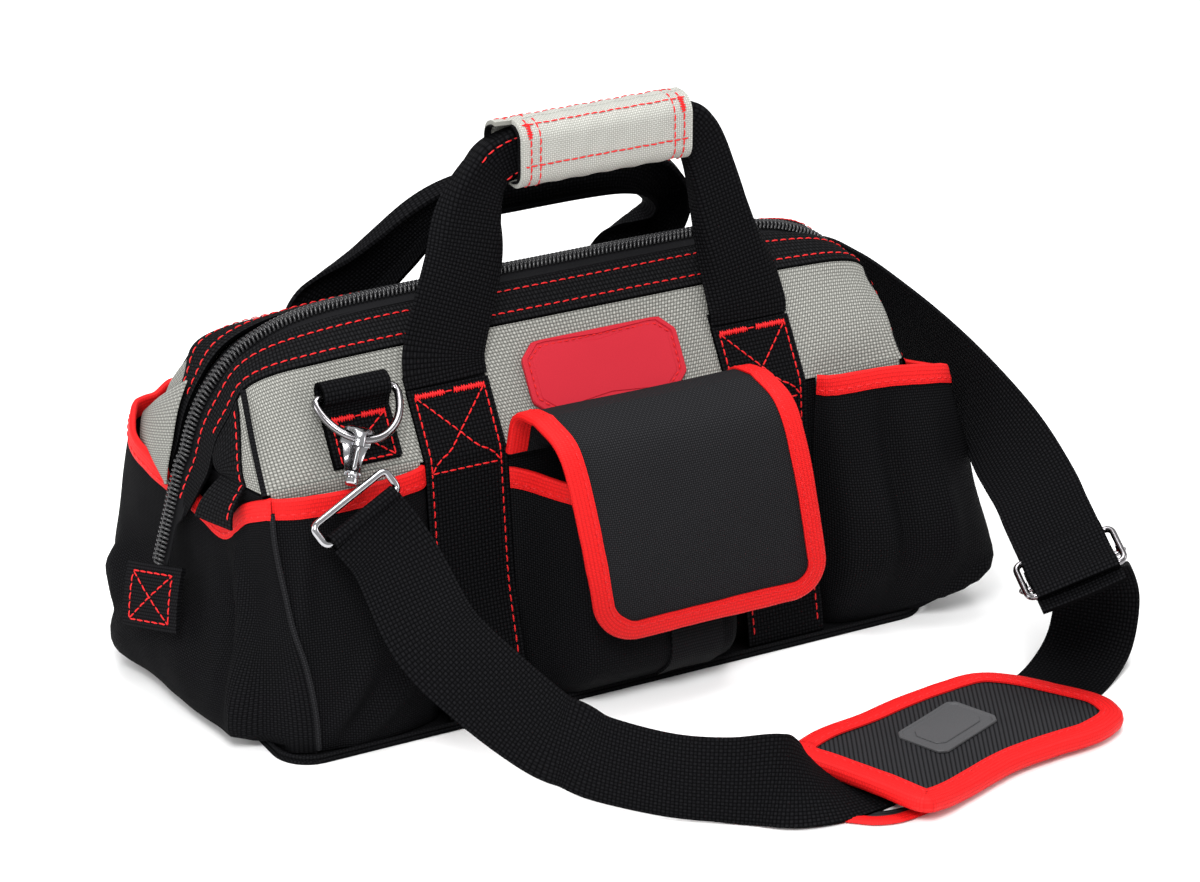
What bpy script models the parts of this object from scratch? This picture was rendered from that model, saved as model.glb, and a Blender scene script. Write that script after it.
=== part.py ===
"""Wide-mouth tool bag with two web handles, a wrapped grip, pockets all round and a padded shoulder strap.

Metres, +Z up. X runs along the bag, the front faces -Y, and the origin is the middle of the underside.
The back of the bag is the front turned half round about Z, apart from the grip wrap, the badge and the
pocket flap, which only the front has.
"""

import math

import bmesh
import bpy
from mathutils import Matrix, Vector

# Body, measured to the outer faces
fold_half_length = 0.2025
base_half_length = 0.2085
base_half_depth = 0.1065
wall_half_depth = 0.088
fold_half_depth = 0.073
fold_height = 0.150
ridge_height = 0.2235
band_edge_height = 0.2065
band_edge_half_depth = 0.036
base_corner_radius = 0.022
end_wall_bow = 0.0104
end_wall_bow_power = 6

# Fabric and clearances
clearance = 0.0003
panel_thickness = 0.0016
base_thickness = 0.0025
board_thickness = 0.0030
board_margin = 0.007
pocket_thickness = 0.0014
binding_thickness = 0.0012
binding_height = 0.010
piping_radius = 0.0017
band_thickness = 0.0020
fold_gap = 0.0006
seam_gap = 0.0008

# Webbing
web_width = 0.050
web_thickness = 0.0022
left_web_x = -0.0825
right_web_x = 0.1105
web_foot_belly = 0.011
anchor_top_height = 0.184

# Pockets
pocket_foot_height = 0.0036
pocket_top_height = 0.156
flat_pocket_top_height = 0.149
box_pocket_top_height = 0.137
flat_pocket_belly = 0.019
flat_pocket_mouth = 0.0055
front_left_mouth = 0.010
wide_pocket_mouth = 0.0115
end_pocket_height = 0.12525
flat_pocket_foot = 0.0125
box_pocket_belly = 0.044
box_pocket_mouth = 0.044
box_pocket_foot = 0.0135
double_web_margin = 0.013

# Zip
coil_radius = 0.0027
zip_tape_half_width = 0.0066
zip_tape_thickness = 0.0010
zip_tape_inset = 0.0036
zip_half_gap = 0.0005
tail_coil_radius = 0.0030
frame_wire_radius = 0.0020
band_tail_foot_height = 0.118
band_leg_half_depth = 0.027
band_tail_half_depth = 0.0125
end_tab_width = 0.036
end_tab_height = 0.035
end_tab_thickness = 0.0045

# Zip slider
slider_length = 0.013
slider_width = 0.0115
slider_cap = 0.0024
slider_clearance = 0.0006
slider_place = 0.012
pull_length = 0.026
pull_width = 0.0075
pull_thickness = 0.0020

# Rings, tabs and snap hooks
tab_width = 0.040
tab_foot = 0.0065
tab_loop_place = 0.0475
tab_loop_inner_radius = 0.0052
ring_corner_distance = 0.0625
ring_tab_x = fold_half_length - ring_corner_distance
ring_wire_radius = 0.00225
ring_half_width = 0.0245
ring_depth = 0.031
ring_lean = 0.36
ring_sag = 0.0020
ring_bend_shares = ((0.78, 0.0), (0.90, 0.012), (0.975, 0.055))
ring_arch_start = 0.17
hook_place_angle = 1.95
left_loop_direction = (0.909, 0.187, 0.374)
left_loop_fall = (0.300, -0.500, -0.810)
right_loop_direction = (-0.350, -0.250, 0.900)
right_loop_fall = (-0.850, -0.350, -0.430)
claw_radius = 0.0021
eye_radius = 0.0075
shank_length = 0.0175
barrel_radius = 0.0036
barrel_length = 0.007
loop_wire_radius = 0.0021
loop_half_length = 0.0265
loop_depth = 0.013
gate_radius = 0.0012

# Handles and grip
handle_top_height = 0.304
handle_front_y = -0.030
handle_back_y = 0.022
back_handle_top_height = 0.264
back_run_left_x = -0.035
back_run_right_x = 0.052
handle_fold_width = 0.026
handle_fold_thickness = 0.0050
grip_half_length = 0.0535
grip_middle_x = 0.024
grip_half_height = 0.0195
grip_half_depth = 0.0135
grip_thickness = 0.0026
grip_corner_radius = 0.0105

# Pocket flap
flap_thickness = 0.0026
flap_root_y = -0.0777
flap_root_height = 0.1470
flap_crest_y = -0.112
flap_crest_height = 0.179
flap_left_x = -0.058
flap_right_x = 0.088
flap_skew = 0.024
flap_foot_height = 0.052
flap_front_y = -0.143

# Badge
badge_half_length = 0.049
panel_slope = math.hypot(fold_half_depth - band_edge_half_depth, band_edge_height - fold_height)
badge_height_share = 0.3183
badge_place_share = 0.4812
badge_half_height = panel_slope * badge_height_share
badge_thickness = 0.0030
badge_middle_x = 0.014
badge_place = panel_slope * badge_place_share
badge_corner_cut = 0.009

# Shoulder strap and pad
strap_thickness = 0.0022
strap_join_gap = 0.0008
glide_half_length = 0.029
glide_half_height = 0.0135
glide_radius = 0.0019
glide_offset = 0.0036
glide_place = 0.024
pad_half_length = 0.094
pad_half_width = 0.0475
pad_thickness = 0.0085
pad_middle_x = 0.131
pad_middle_y = -0.2555
pad_turn = 0.035
pad_floor = 0.0036
pad_left_lift = 0.0128
pad_taper = 0.24
pad_binding_width = 0.0105

# Shares along the zip path, from the fold at an end to the middle of the ridge. Each row is the coil's
# x as a share of fold_half_length and its height as a share of fold to ridge, then the band edge's x, its
# depth as a share of band_edge_half_depth and its height as a share of fold to band edge.
mouth_shares = (
    (1.079, 0.012, 1.062, 0.750, 0.012),
    (1.050, 0.270, 1.040, 0.790, 0.320),
    (1.002, 0.510, 1.002, 0.870, 0.590),
    (0.925, 0.735, 0.970, 0.960, 0.845),
    (0.835, 0.870, 0.890, 1.000, 0.955),
    (0.730, 0.950, 0.740, 1.020, 0.990),
    (0.580, 0.990, 0.580, 1.015, 1.000),
    (0.300, 1.000, 0.300, 1.000, 1.000),
    (0.000, 1.000, 0.000, 1.000, 1.000),
)
mouth_corner_row = 3
panel_columns = 22
panel_end_share = 4 / 22
panel_start_share = 0.035

# The static zip tail, from just under the fold to the end tab: x and height as shares of the same sizes
tail_shares = ((1.089, 0.996), (1.1157, 0.864), (1.1423, 0.732), (1.169, 0.600))

# The wrap pocket's plan at four heights, from the right web round the corner to the far end corner: each
# point is x as a share of fold_half_length and y as a share of fold_half_depth.
wrap_foot_shares = (
    (0.684, -1.225), (0.740, -1.335), (0.870, -1.375), (0.980, -1.365), (1.005, -1.180),
    (1.008, -0.620), (1.008, 0.000), (1.006, 0.620), (1.004, 1.130),
)
wrap_belly_shares = (
    (0.684, -1.180), (0.740, -1.540), (0.885, -1.710), (1.050, -1.660), (1.148, -1.330),
    (1.140, -0.780), (1.100, 0.000), (1.060, 0.620), (1.008, 1.130),
)
wrap_chest_shares = (
    (0.684, -1.105), (0.740, -1.370), (0.890, -1.450), (1.055, -1.420), (1.128, -1.180),
    (1.128, -0.650), (1.094, 0.000), (1.048, 0.600), (1.008, 1.090),
)
wrap_mouth_shares = (
    (0.684, -1.020), (0.740, -1.215), (0.890, -1.240), (1.045, -1.240), (1.098, -1.080),
    (1.096, -0.600), (1.060, 0.000), (1.032, 0.560), (1.006, 1.010),
)
wrap_level_shares = (0.0, 0.32, 0.68, 1.0)
wrap_droop_shares = (0.0, 0.0, 0.0, 0.15, 0.39, 0.68, 1.0, 0.68, 0.15)

# Handle stations as shares: x share from the run's end to the foot, depth share from the foot to the
# top run, height share from the anchor to the top run, width share from full web to folded web, turn share.
front_left_leg_shares = (
    (1.00, 0.00, 0.000, 0.00, 0.00), (1.00, 0.12, 0.080, 0.00, 0.00), (0.96, 0.24, 0.160, 0.00, 0.06),
    (0.80, 0.47, 0.336, 0.00, 0.22), (0.60, 0.72, 0.540, 0.05, 0.26), (0.48, 0.87, 0.705, 0.35, 0.26),
    (0.385, 0.94, 0.822, 0.75, 0.34), (0.26, 0.98, 0.912, 1.00, 0.56), (0.10, 1.00, 0.970, 1.00, 0.84),
    (-0.30, 1.00, 1.000, 1.00, 1.00),
)
front_right_leg_shares = (
    (1.00, 0.00, 0.000, 0.00, 0.00), (1.00, 0.12, 0.100, 0.02, 0.00), (0.95, 0.36, 0.260, 0.22, 0.08),
    (0.80, 0.66, 0.487, 0.65, 0.14), (0.64, 0.86, 0.697, 0.92, 0.22), (0.50, 0.94, 0.830, 1.00, 0.38),
    (0.32, 0.99, 0.926, 1.00, 0.60), (0.08, 1.00, 0.980, 1.00, 0.84), (-0.50, 1.00, 1.000, 1.00, 1.00),
)
back_left_leg_shares = (
    (1.00, 0.00, 0.000, 0.00, 0.00), (1.00, 0.03, 0.070, 0.00, 0.00), (0.98, 0.08, 0.160, 0.05, 0.12),
    (0.89, 0.17, 0.280, 0.25, 0.34), (0.70, 0.40, 0.470, 0.60, 0.48), (0.52, 0.68, 0.680, 0.80, 0.50), (0.36, 0.88, 0.850, 0.95, 0.60),
    (0.16, 0.98, 0.955, 1.00, 0.82), (-0.08, 1.00, 1.000, 1.00, 1.00), (-0.34, 1.00, 1.000, 1.00, 1.00),
)
back_right_leg_shares = (
    (1.00, 0.00, 0.000, 0.00, 0.00), (1.00, 0.03, 0.070, 0.00, 0.00), (1.08, 0.08, 0.160, 0.08, -0.18),
    (1.27, 0.17, 0.270, 0.30, -0.30), (1.50, 0.38, 0.420, 0.65, -0.28), (1.60, 0.62, 0.590, 0.92, 0.00), (1.44, 0.82, 0.760, 1.00, 0.30),
    (1.02, 0.94, 0.905, 1.00, 0.60), (0.42, 1.00, 0.980, 1.00, 0.88), (-0.45, 1.00, 1.000, 1.00, 1.00),
)

# Shoulder strap stations: a middle as shares of fold_half_length, base_half_depth and fold_height, then the
# direction of the strap's width.
front_run_shares = (
    ((-0.722, -1.080, 0.791), (0.909, 0.187, 0.374)),
    ((-0.680, -1.370, 0.560), (0.820, 0.020, 0.570)),
    ((-0.590, -1.600, 0.400), (0.680, -0.120, 0.720)),
    ((-0.490, -1.850, 0.268), (0.480, -0.200, 0.850)),
)
ground_run_shares = (
    ((-0.385, -2.110, 0.205), (0.260, -0.180, 0.950)),
    ((-0.255, -2.360, 0.180), (0.080, -0.080, 0.990)),
    ((-0.130, -2.530, 0.174), (0.000, 0.030, 1.000)),
    ((-0.020, -2.610, 0.163), (0.000, 0.300, 0.950)),
    ((0.080, -2.620, 0.118), (0.000, 0.720, 0.690)),
    ((0.185, -2.590, 0.055), (0.000, 0.960, 0.235)),
    ((0.300, -2.540, 0.019), (0.000, 1.000, 0.020)),
    ((0.460, -2.460, 0.0105), (0.000, 1.000, 0.000)),
    ((0.640, -2.390, 0.0105), (-0.100, 0.990, 0.000)),
    ((0.820, -2.300, 0.0105), (-0.300, 0.950, 0.000)),
    ((0.980, -2.180, 0.0105), (-0.480, 0.870, 0.000)),
    ((1.130, -2.030, 0.014), (-0.580, 0.810, 0.000)),
    ((1.250, -1.890, 0.080), (-0.640, 0.770, 0.000)),
    ((1.290, -1.830, 0.240), (-0.680, 0.730, -0.060)),
    ((1.235, -1.880, 0.370), (-0.780, 0.560, -0.260)),
    ((1.140, -2.060, 0.430), (-0.860, 0.320, -0.390)),
)
glide_low_shares = (1.030, -2.410, 0.500)
glide_high_shares = (1.145, -1.560, 0.690)
glide_width_direction = (0.880, -0.060, 0.430)
side_run_shares = (
    ((1.205, -0.950, 0.790), (0.420, -0.020, 0.905)),
    ((1.238, -0.420, 0.860), (0.130, 0.000, 0.990)),
    ((1.240, 0.080, 0.915), (0.000, 0.000, 1.000)),
    ((1.225, 0.480, 0.945), (-0.020, 0.060, 0.995)),
    ((1.195, 0.840, 0.930), (0.040, 0.140, 0.980)),
    ((1.000, 1.038, 0.892), (0.350, 0.250, 0.900)),
)

colours = {
    "black_weave": ((0.012, 0.012, 0.013), 0.75, 0.0),
    "grey_weave": ((0.42, 0.42, 0.39), 0.70, 0.0),
    "red_tape": ((0.72, 0.020, 0.018), 0.60, 0.0),
    "black_web": ((0.009, 0.009, 0.010), 0.80, 0.0),
    "black_lining": ((0.015, 0.015, 0.016), 0.70, 0.0),
    "red_rubber": ((0.48, 0.015, 0.035), 0.45, 0.0),
    "zip_black": ((0.010, 0.010, 0.011), 0.40, 0.0),
    "chrome": ((0.62, 0.62, 0.64), 0.18, 1.0),
    "gunmetal": ((0.35, 0.34, 0.34), 0.25, 1.0),
    "steel": ((0.55, 0.55, 0.55), 0.35, 1.0),
    "board": ((0.06, 0.05, 0.045), 0.85, 0.0),
}


def clear_scene():
    for obj in list(bpy.data.objects):
        bpy.data.objects.remove(obj, do_unlink=True)


def material(name):
    found = bpy.data.materials.get(name)
    if found:
        return found
    colour, roughness, metallic = colours[name]
    made = bpy.data.materials.new(name)
    made.use_nodes = True
    shader = made.node_tree.nodes["Principled BSDF"]
    shader.inputs["Base Color"].default_value = (*colour, 1.0)
    shader.inputs["Roughness"].default_value = roughness
    shader.inputs["Metallic"].default_value = metallic
    return made


def add(obj, finish):
    parts.objects.link(obj)
    obj.data.materials.append(material(finish))
    return obj


def carried_by(pivot, *pieces):
    """Parents the pieces to an empty on their joint's axis and leaves them where they are."""
    for piece in pieces:
        piece.parent = pivot
        piece.matrix_parent_inverse = Matrix.Translation(-pivot.location)


def joint_empty(name, place, parent=None):
    empty = bpy.data.objects.new(name, None)
    parts.objects.link(empty)
    empty.location = place
    if parent:
        empty.parent = parent
        empty.matrix_parent_inverse = Matrix.Translation(-parent.location)
    return empty


def turned(point):
    """The point on the other face of the bag: half a turn about Z."""
    return Vector((-point[0], -point[1], point[2]))


def turned_place(place):
    return lambda u, v: turned(place(u, v))


def mix(a, b, share):
    return a + (b - a) * share


def smoothstep(value):
    value = min(max(value, 0.0), 1.0)
    return value * value * (3 - 2 * value)


def spline(points, share):
    """A point of the smooth curve through evenly spaced vectors or numbers."""
    last = len(points) - 1
    along = min(max(share, 0.0), 1.0) * last
    first = min(int(along), last - 1)
    t = along - first
    p1, p2 = points[first], points[first + 1]
    p0 = points[first - 1] if first > 0 else p1 * 2 - p2
    p3 = points[first + 2] if first + 2 <= last else p2 * 2 - p1
    return (p1 * 2 + (p2 - p0) * t + (p0 * 2 - p1 * 5 + p2 * 4 - p3) * t**2
            + (p1 * 3 - p0 - p2 * 3 + p3) * t**3) * 0.5


def mapped_grid(shape, place, columns, rows):
    made = bmesh.ops.create_grid(shape, x_segments=columns, y_segments=rows, size=0.5)
    for vert in made["verts"]:
        vert.co = place(vert.co.x + 0.5, vert.co.y + 0.5)


def sheet(name, place, columns, rows, thickness, finish, seam=None):
    """Fabric: an open grid given thickness about its middle surface."""
    shape = bmesh.new()
    mapped_grid(shape, place, columns, rows)
    if seam:
        bmesh.ops.remove_doubles(shape, verts=shape.verts, dist=seam)
    mesh = bpy.data.meshes.new(name)
    shape.to_mesh(mesh)
    shape.free()
    mesh.shade_smooth()
    obj = add(bpy.data.objects.new(name, mesh), finish)
    solid = obj.modifiers.new("thickness", "SOLIDIFY")
    solid.thickness = thickness
    solid.offset = 0
    return obj


def raised(place, distance, step=0.004):
    """The same surface, moved along its normal."""
    def moved(u, v):
        du = place(min(u + step, 1), v) - place(max(u - step, 0), v)
        dv = place(u, min(v + step, 1)) - place(u, max(v - step, 0))
        return place(u, v) + du.cross(dv).normalized() * distance
    return moved


def part_of(place, u0, u1, v0, v1):
    return lambda u, v: place(mix(u0, u1, u), mix(v0, v1, v))


def add_loft(shape, rings):
    """A closed solid through rings of as many points each."""
    rows = [[shape.verts.new(point) for point in ring] for ring in rings]
    count = len(rows[0])
    for low, high in zip(rows, rows[1:]):
        for i in range(count):
            j = (i + 1) % count
            shape.faces.new((low[i], low[j], high[j], high[i]))
    shape.faces.new(list(reversed(rows[0])))
    shape.faces.new(rows[-1])


def mesh_object(name, shape, finish, smooth=True):
    bmesh.ops.recalc_face_normals(shape, faces=shape.faces)
    mesh = bpy.data.meshes.new(name)
    shape.to_mesh(mesh)
    shape.free()
    if smooth:
        mesh.shade_smooth()
        mesh.set_sharp_from_angle(angle=math.radians(40))
    return add(bpy.data.objects.new(name, mesh), finish)


def ribbon_rings(stations, steps, width, thickness):
    """Rectangular sections along stations of (middle, width direction), with width and thickness by share."""
    middles = [Vector(middle) for middle, direction in stations]
    directions = [Vector(direction).normalized() for middle, direction in stations]
    rings = []
    for i in range(steps + 1):
        share = i / steps
        middle = spline(middles, share)
        ahead = spline(middles, min(share + 0.01, 1)) - spline(middles, max(share - 0.01, 0))
        side = spline(directions, share)
        side = (side - ahead * (side.dot(ahead) / ahead.length_squared)).normalized()
        normal = ahead.cross(side).normalized()
        half_width = side * (width(share) / 2)
        half_thickness = normal * (thickness(share) / 2)
        rings.append([
            middle - half_width - half_thickness, middle + half_width - half_thickness,
            middle + half_width + half_thickness, middle - half_width + half_thickness,
        ])
    return rings


def strap_run(name, stations, steps):
    shape = bmesh.new()
    add_loft(shape, ribbon_rings(stations, steps, lambda s: web_width, lambda s: strap_thickness))
    return mesh_object(name, shape, "black_web")


def wire_curve(name, paths, radius, finish, closed=False, resolution=2):
    curve = bpy.data.curves.new(name, "CURVE")
    curve.dimensions = "3D"
    curve.bevel_depth = radius
    curve.bevel_resolution = resolution
    curve.use_fill_caps = True
    for points in paths:
        line = curve.splines.new("POLY")
        line.points.add(len(points) - 1)
        for spot, point in zip(line.points, points):
            spot.co = (*point, 1.0)
        line.use_cyclic_u = closed
    return add(bpy.data.objects.new(name, curve), finish)


def bent_corners(corners, cut, steps=3):
    """A closed wire path whose corners are round, starting a cut away from each corner."""
    path = []
    for i, corner in enumerate(corners):
        before = (corners[i - 1] - corner).normalized() * cut
        after = (corners[(i + 1) % len(corners)] - corner).normalized() * cut
        for j in range(steps + 1):
            t = j / steps
            path.append(corner + before * (1 - t) ** 2 + after * t**2)
    return path


def flat_solid(name, outlines, half_thickness, finish, frame=None):
    """A flat outline, with holes if there are more than one, extruded both ways from the frame's XY plane."""
    curve = bpy.data.curves.new(name, "CURVE")
    curve.dimensions = "2D"
    curve.fill_mode = "BOTH"
    curve.extrude = half_thickness
    for outline in outlines:
        line = curve.splines.new("POLY")
        line.points.add(len(outline) - 1)
        for spot, point in zip(line.points, outline):
            spot.co = (point[0], point[1], 0.0, 1.0)
        line.use_cyclic_u = True
    obj = add(bpy.data.objects.new(name, curve), finish)
    if frame:
        obj.matrix_world = frame
    return obj


def arc(middle, radius, start, end, steps):
    return [
        (middle[0] + radius * math.cos(mix(start, end, i / steps)),
         middle[1] + radius * math.sin(mix(start, end, i / steps)))
        for i in range(steps + 1)
    ]


def rounded_rectangle(half_length, half_width, radius, steps=5):
    points = []
    for quarter, (sx, sy) in enumerate(((1, 1), (-1, 1), (-1, -1), (1, -1))):
        middle = (sx * (half_length - radius), sy * (half_width - radius))
        start = quarter * math.pi / 2
        points += arc(middle, radius, start, start + math.pi / 2, steps)
    return points


def frame_from(origin, x_axis, y_axis):
    x_axis = Vector(x_axis).normalized()
    z_axis = x_axis.cross(Vector(y_axis)).normalized()
    y_axis = z_axis.cross(x_axis)
    axes = Matrix((x_axis, y_axis, z_axis)).transposed().to_4x4()
    return Matrix.Translation(origin) @ axes


# The walls

def wall_y(z):
    """Outer face of the front wall."""
    return -mix(wall_half_depth, fold_half_depth, z / fold_height)


def end_x(y, z):
    """Outer face of the left end wall."""
    across = 1 - min(abs(y) / -wall_y(z), 1) ** 2
    return -(fold_half_length + end_wall_bow * across * (z / fold_height) ** end_wall_bow_power)


wall_foot = base_thickness + seam_gap
wall_top = fold_height - fold_gap / 2


def front_wall(u, v):
    z = mix(wall_foot, wall_top, v)
    return Vector((mix(-fold_half_length, fold_half_length, u), wall_y(z) + panel_thickness / 2, z))


def left_end_wall(u, v):
    z = mix(wall_foot, wall_top, v)
    reach = -wall_y(z) - panel_thickness - clearance * 2
    y = mix(reach, -reach, u)
    return Vector((end_x(y, z) + panel_thickness / 2, y, z))


def base():
    outline = rounded_rectangle(base_half_length, base_half_depth, base_corner_radius)
    low = Matrix.Translation((0, 0, base_thickness / 2))
    flat_solid("base_panel", [outline], base_thickness / 2, "black_weave", low)
    board_height = base_thickness + clearance + board_thickness / 2
    board_outline = rounded_rectangle(
        fold_half_length - board_margin, wall_half_depth - board_margin, board_margin)
    flat_solid("base_board", [board_outline], board_thickness / 2, "board",
               Matrix.Translation((0, 0, board_height)))


def walls():
    sheet("front_lower_panel", front_wall, 12, 6, panel_thickness, "black_weave")
    sheet("back_lower_panel", turned_place(front_wall), 12, 6, panel_thickness, "black_weave")
    sheet("left_end_panel", left_end_wall, 10, 8, panel_thickness, "black_weave")
    sheet("right_end_panel", turned_place(left_end_wall), 10, 8, panel_thickness, "black_weave")


# Pockets on the front and, turned, on the back

def pouch(x0, x1, top, depth_at, side_at):
    """A pocket's middle surface that stands off the front wall by a depth up and across."""
    seat = clearance + pocket_thickness / 2

    def place(u, v):
        z = mix(pocket_foot_height, top, v)
        depth = depth_at(v) * side_at(u)
        return Vector((mix(x0, x1, u), wall_y(z) - seat - depth, z))
    return place


def three_way(foot, belly, mouth, belly_at):
    def depth(v):
        if v < belly_at:
            return mix(foot, belly, math.sin(v / belly_at * math.pi / 2))
        return mix(belly, mouth, smoothstep((v - belly_at) / (1 - belly_at)))
    return depth


def round_side(u):
    return math.sin(math.pi * min(max(u, 0), 1)) ** 0.55


def box_side(u):
    return smoothstep(min(u, 1 - u) / 0.2) ** 0.8


web_reach = web_width / 2 + seam_gap * 2
flat_pocket = pouch(
    -fold_half_length + piping_radius, left_web_x - web_reach, flat_pocket_top_height,
    three_way(flat_pocket_foot, flat_pocket_belly, front_left_mouth, 0.3), round_side)
box_pocket = pouch(
    left_web_x + web_reach, right_web_x - web_reach, box_pocket_top_height,
    three_way(box_pocket_foot, box_pocket_belly, box_pocket_mouth, 0.22), box_side)


def wrap_pocket(u, v):
    """One pocket from the right web round the front corner and across the right end."""
    rows = []
    for shares in (wrap_foot_shares, wrap_belly_shares, wrap_chest_shares, wrap_mouth_shares):
        plan = [Vector((x * fold_half_length, y * fold_half_depth)) for x, y in shares]
        rows.append(spline(plan, u))
    reach = v * (len(rows) - 1)
    plan = spline(rows, reach / (len(rows) - 1))
    level = spline([Vector((share, 0)) for share in wrap_level_shares], v).x
    droop = spline([Vector((share, 0)) for share in wrap_droop_shares], u).x
    top = mix(pocket_top_height, end_pocket_height, droop)
    return Vector((plan.x, plan.y, mix(pocket_foot_height, top, level)))


def binding_on(place, height_share, side=1):
    """A strip of tape over the outer face of a pocket's top edge."""
    rise = pocket_thickness / 2 + clearance * 2 + binding_thickness / 2
    return part_of(raised(place, side * rise), 0.004, 0.996, 1 - height_share, 0.999)


def double_side(u):
    """Two swells with the web's flat strip between them."""
    x = mix(-fold_half_length + piping_radius, right_web_x - web_reach, u)
    start, end = left_web_x - web_reach - double_web_margin, left_web_x + web_reach + double_web_margin
    if start < x < end:
        return 0.0
    if x <= start:
        share = (x + fold_half_length - piping_radius) / (start + fold_half_length - piping_radius)
    else:
        share = (x - end) / (right_web_x - web_reach - end)
    return math.sin(math.pi * min(max(share, 0), 1)) ** 0.7


def double_pocket(u, v):
    """The back pocket: a flat narrow swell, the web's strip and a wide swell that stands open."""
    start, end = -fold_half_length + piping_radius, right_web_x - web_reach
    top = flat_pocket_top_height - seam_gap * 3
    mouth = flat_pocket_mouth if mix(start, end, u) < left_web_x else wide_pocket_mouth
    depth = three_way(flat_pocket_foot, flat_pocket_belly, mouth, 0.3)
    return pouch(start, end, top, depth, double_side)(u, v)


def pockets():
    places = {
        "front_left_pocket": (flat_pocket, 12),
        "front_centre_pocket": (box_pocket, 20),
        "back_pocket": (turned_place(double_pocket), 22),
        "right_wrap_pocket": (wrap_pocket, 26),
        "left_wrap_pocket": (turned_place(wrap_pocket), 26),
    }
    tall = binding_height / fold_height
    for name, (place, columns) in places.items():
        sheet(name, place, columns, 8, pocket_thickness, "black_weave")
        sheet(name + "_binding", binding_on(place, tall), columns, 1, binding_thickness, "red_tape")


def lower_web(middle_x, over=0.0):
    """A web on the wall from base to fold. over is the thickness of what lies between them."""
    seat = clearance + over + web_thickness / 2

    def place(u, v):
        z = mix(pocket_foot_height, wall_top, v)
        belly = web_foot_belly * (1 - smoothstep(v / 0.55))
        x = middle_x + mix(-web_width / 2, web_width / 2, u)
        return Vector((x, wall_y(z) - seat - belly, z))
    return place


def lower_webs():
    """Named by the side of the bag that they are on, seen from the front."""
    pocket_and_binding = pocket_thickness + binding_thickness + clearance * 4
    sheet("front_left_web", lower_web(left_web_x), 1, 7, web_thickness, "black_web")
    sheet("front_right_web", lower_web(right_web_x), 1, 7, web_thickness, "black_web")
    back_right = turned_place(lower_web(left_web_x, pocket_and_binding))
    sheet("back_right_web", back_right, 1, 7, web_thickness, "black_web")
    sheet("back_left_web", turned_place(lower_web(right_web_x)), 1, 7, web_thickness, "black_web")


# The mouth: upper panel, end gussets, band and zip half above the fold

def zip_point(row):
    x, height = mouth_shares[row][:2]
    return Vector((-x * fold_half_length, 0, mix(fold_height, ridge_height, height)))


def edge_point(row):
    x, depth, height = mouth_shares[row][2:]
    return Vector((-x * fold_half_length, -depth * band_edge_half_depth,
                   mix(fold_height, band_edge_height, height)))


def mirrored_line(points):
    """The left half's points, then their mirror images on the right, in one line."""
    return points + [Vector((-p.x, p.y, p.z)) for p in reversed(points[:-1])]


rows_each_side = range(len(mouth_shares))
zip_line = mirrored_line([zip_point(row) for row in rows_each_side])
edge_line = mirrored_line([edge_point(row) for row in rows_each_side])
last_row = len(zip_line) - 1
corner_share = mouth_corner_row / last_row


def band_surface(u, v):
    """From the middle of the zip, v = 0, to the band's outer edge, v = 1, along the mouth."""
    inner, outer = spline(zip_line, u), spline(edge_line, u)
    crown = Vector((0, 0, 1)) * (math.sin(math.pi * v) * band_thickness)
    return mix(inner, outer, v) + crown


def band_share(u, depth):
    """How far across the band a depth from the zip lies."""
    return depth / -spline(edge_line, u).y


def band_strip(near, far, inset=0.0):
    """A strip of the band between two depths from the zip, or from near to the band's edge if far is None."""
    surface = raised(band_surface, -inset) if inset else band_surface

    def place(u, v):
        start = band_share(u, near)
        end = 1.0 if far is None else band_share(u, far)
        return surface(u, mix(start, end, v))
    return place


def panel_share(u):
    """Evenly spaced columns moved so that one falls on each corner."""
    if u < panel_end_share:
        return mix(panel_start_share, corner_share, u / panel_end_share)
    if u > 1 - panel_end_share:
        return 1 - panel_share(1 - u)
    return mix(corner_share, 1 - corner_share, (u - panel_end_share) / (1 - panel_end_share * 2))


def upper_panel(u, v):
    """The light cloth's outer face from the fold, v = 0, to the band's edge, v = 1, round both ends."""
    along = panel_share(u)
    top = spline(edge_line, along)
    side = -1 if u < 0.5 else 1
    z = fold_height + fold_gap / 2 + panel_thickness * 0.6
    near = along if u < 0.5 else 1 - along
    if near < corner_share:
        y = mix(-band_leg_half_depth, -fold_half_depth, near / corner_share)
        foot = Vector((-side * end_x(y, fold_height), y, z))
    else:
        across = (u - panel_end_share) / (1 - panel_end_share * 2)
        foot = Vector((mix(-fold_half_length, fold_half_length, across), -fold_half_depth, z))
    stop = 1 - seam_gap / (top - foot).length
    return mix(foot, top, v * stop)


def joined(name, pieces, finish):
    """Several objects' evaluated solids, apart from each other, as one named group."""
    bpy.context.view_layer.update()
    graph = bpy.context.evaluated_depsgraph_get()
    shape = bmesh.new()
    for piece in pieces:
        mesh = bpy.data.meshes.new_from_object(piece.evaluated_get(graph))
        mesh.transform(piece.matrix_world)
        shape.from_mesh(mesh)
        bpy.data.meshes.remove(mesh)
    weld = clearance / 100
    bmesh.ops.remove_doubles(shape, verts=shape.verts, dist=weld)
    for piece in pieces:
        bpy.data.objects.remove(piece, do_unlink=True)
    return mesh_object(name, shape, finish)


def swept(name, rows, finish):
    shape = bmesh.new()
    add_loft(shape, rows)
    return mesh_object(name, shape, finish)


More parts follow.
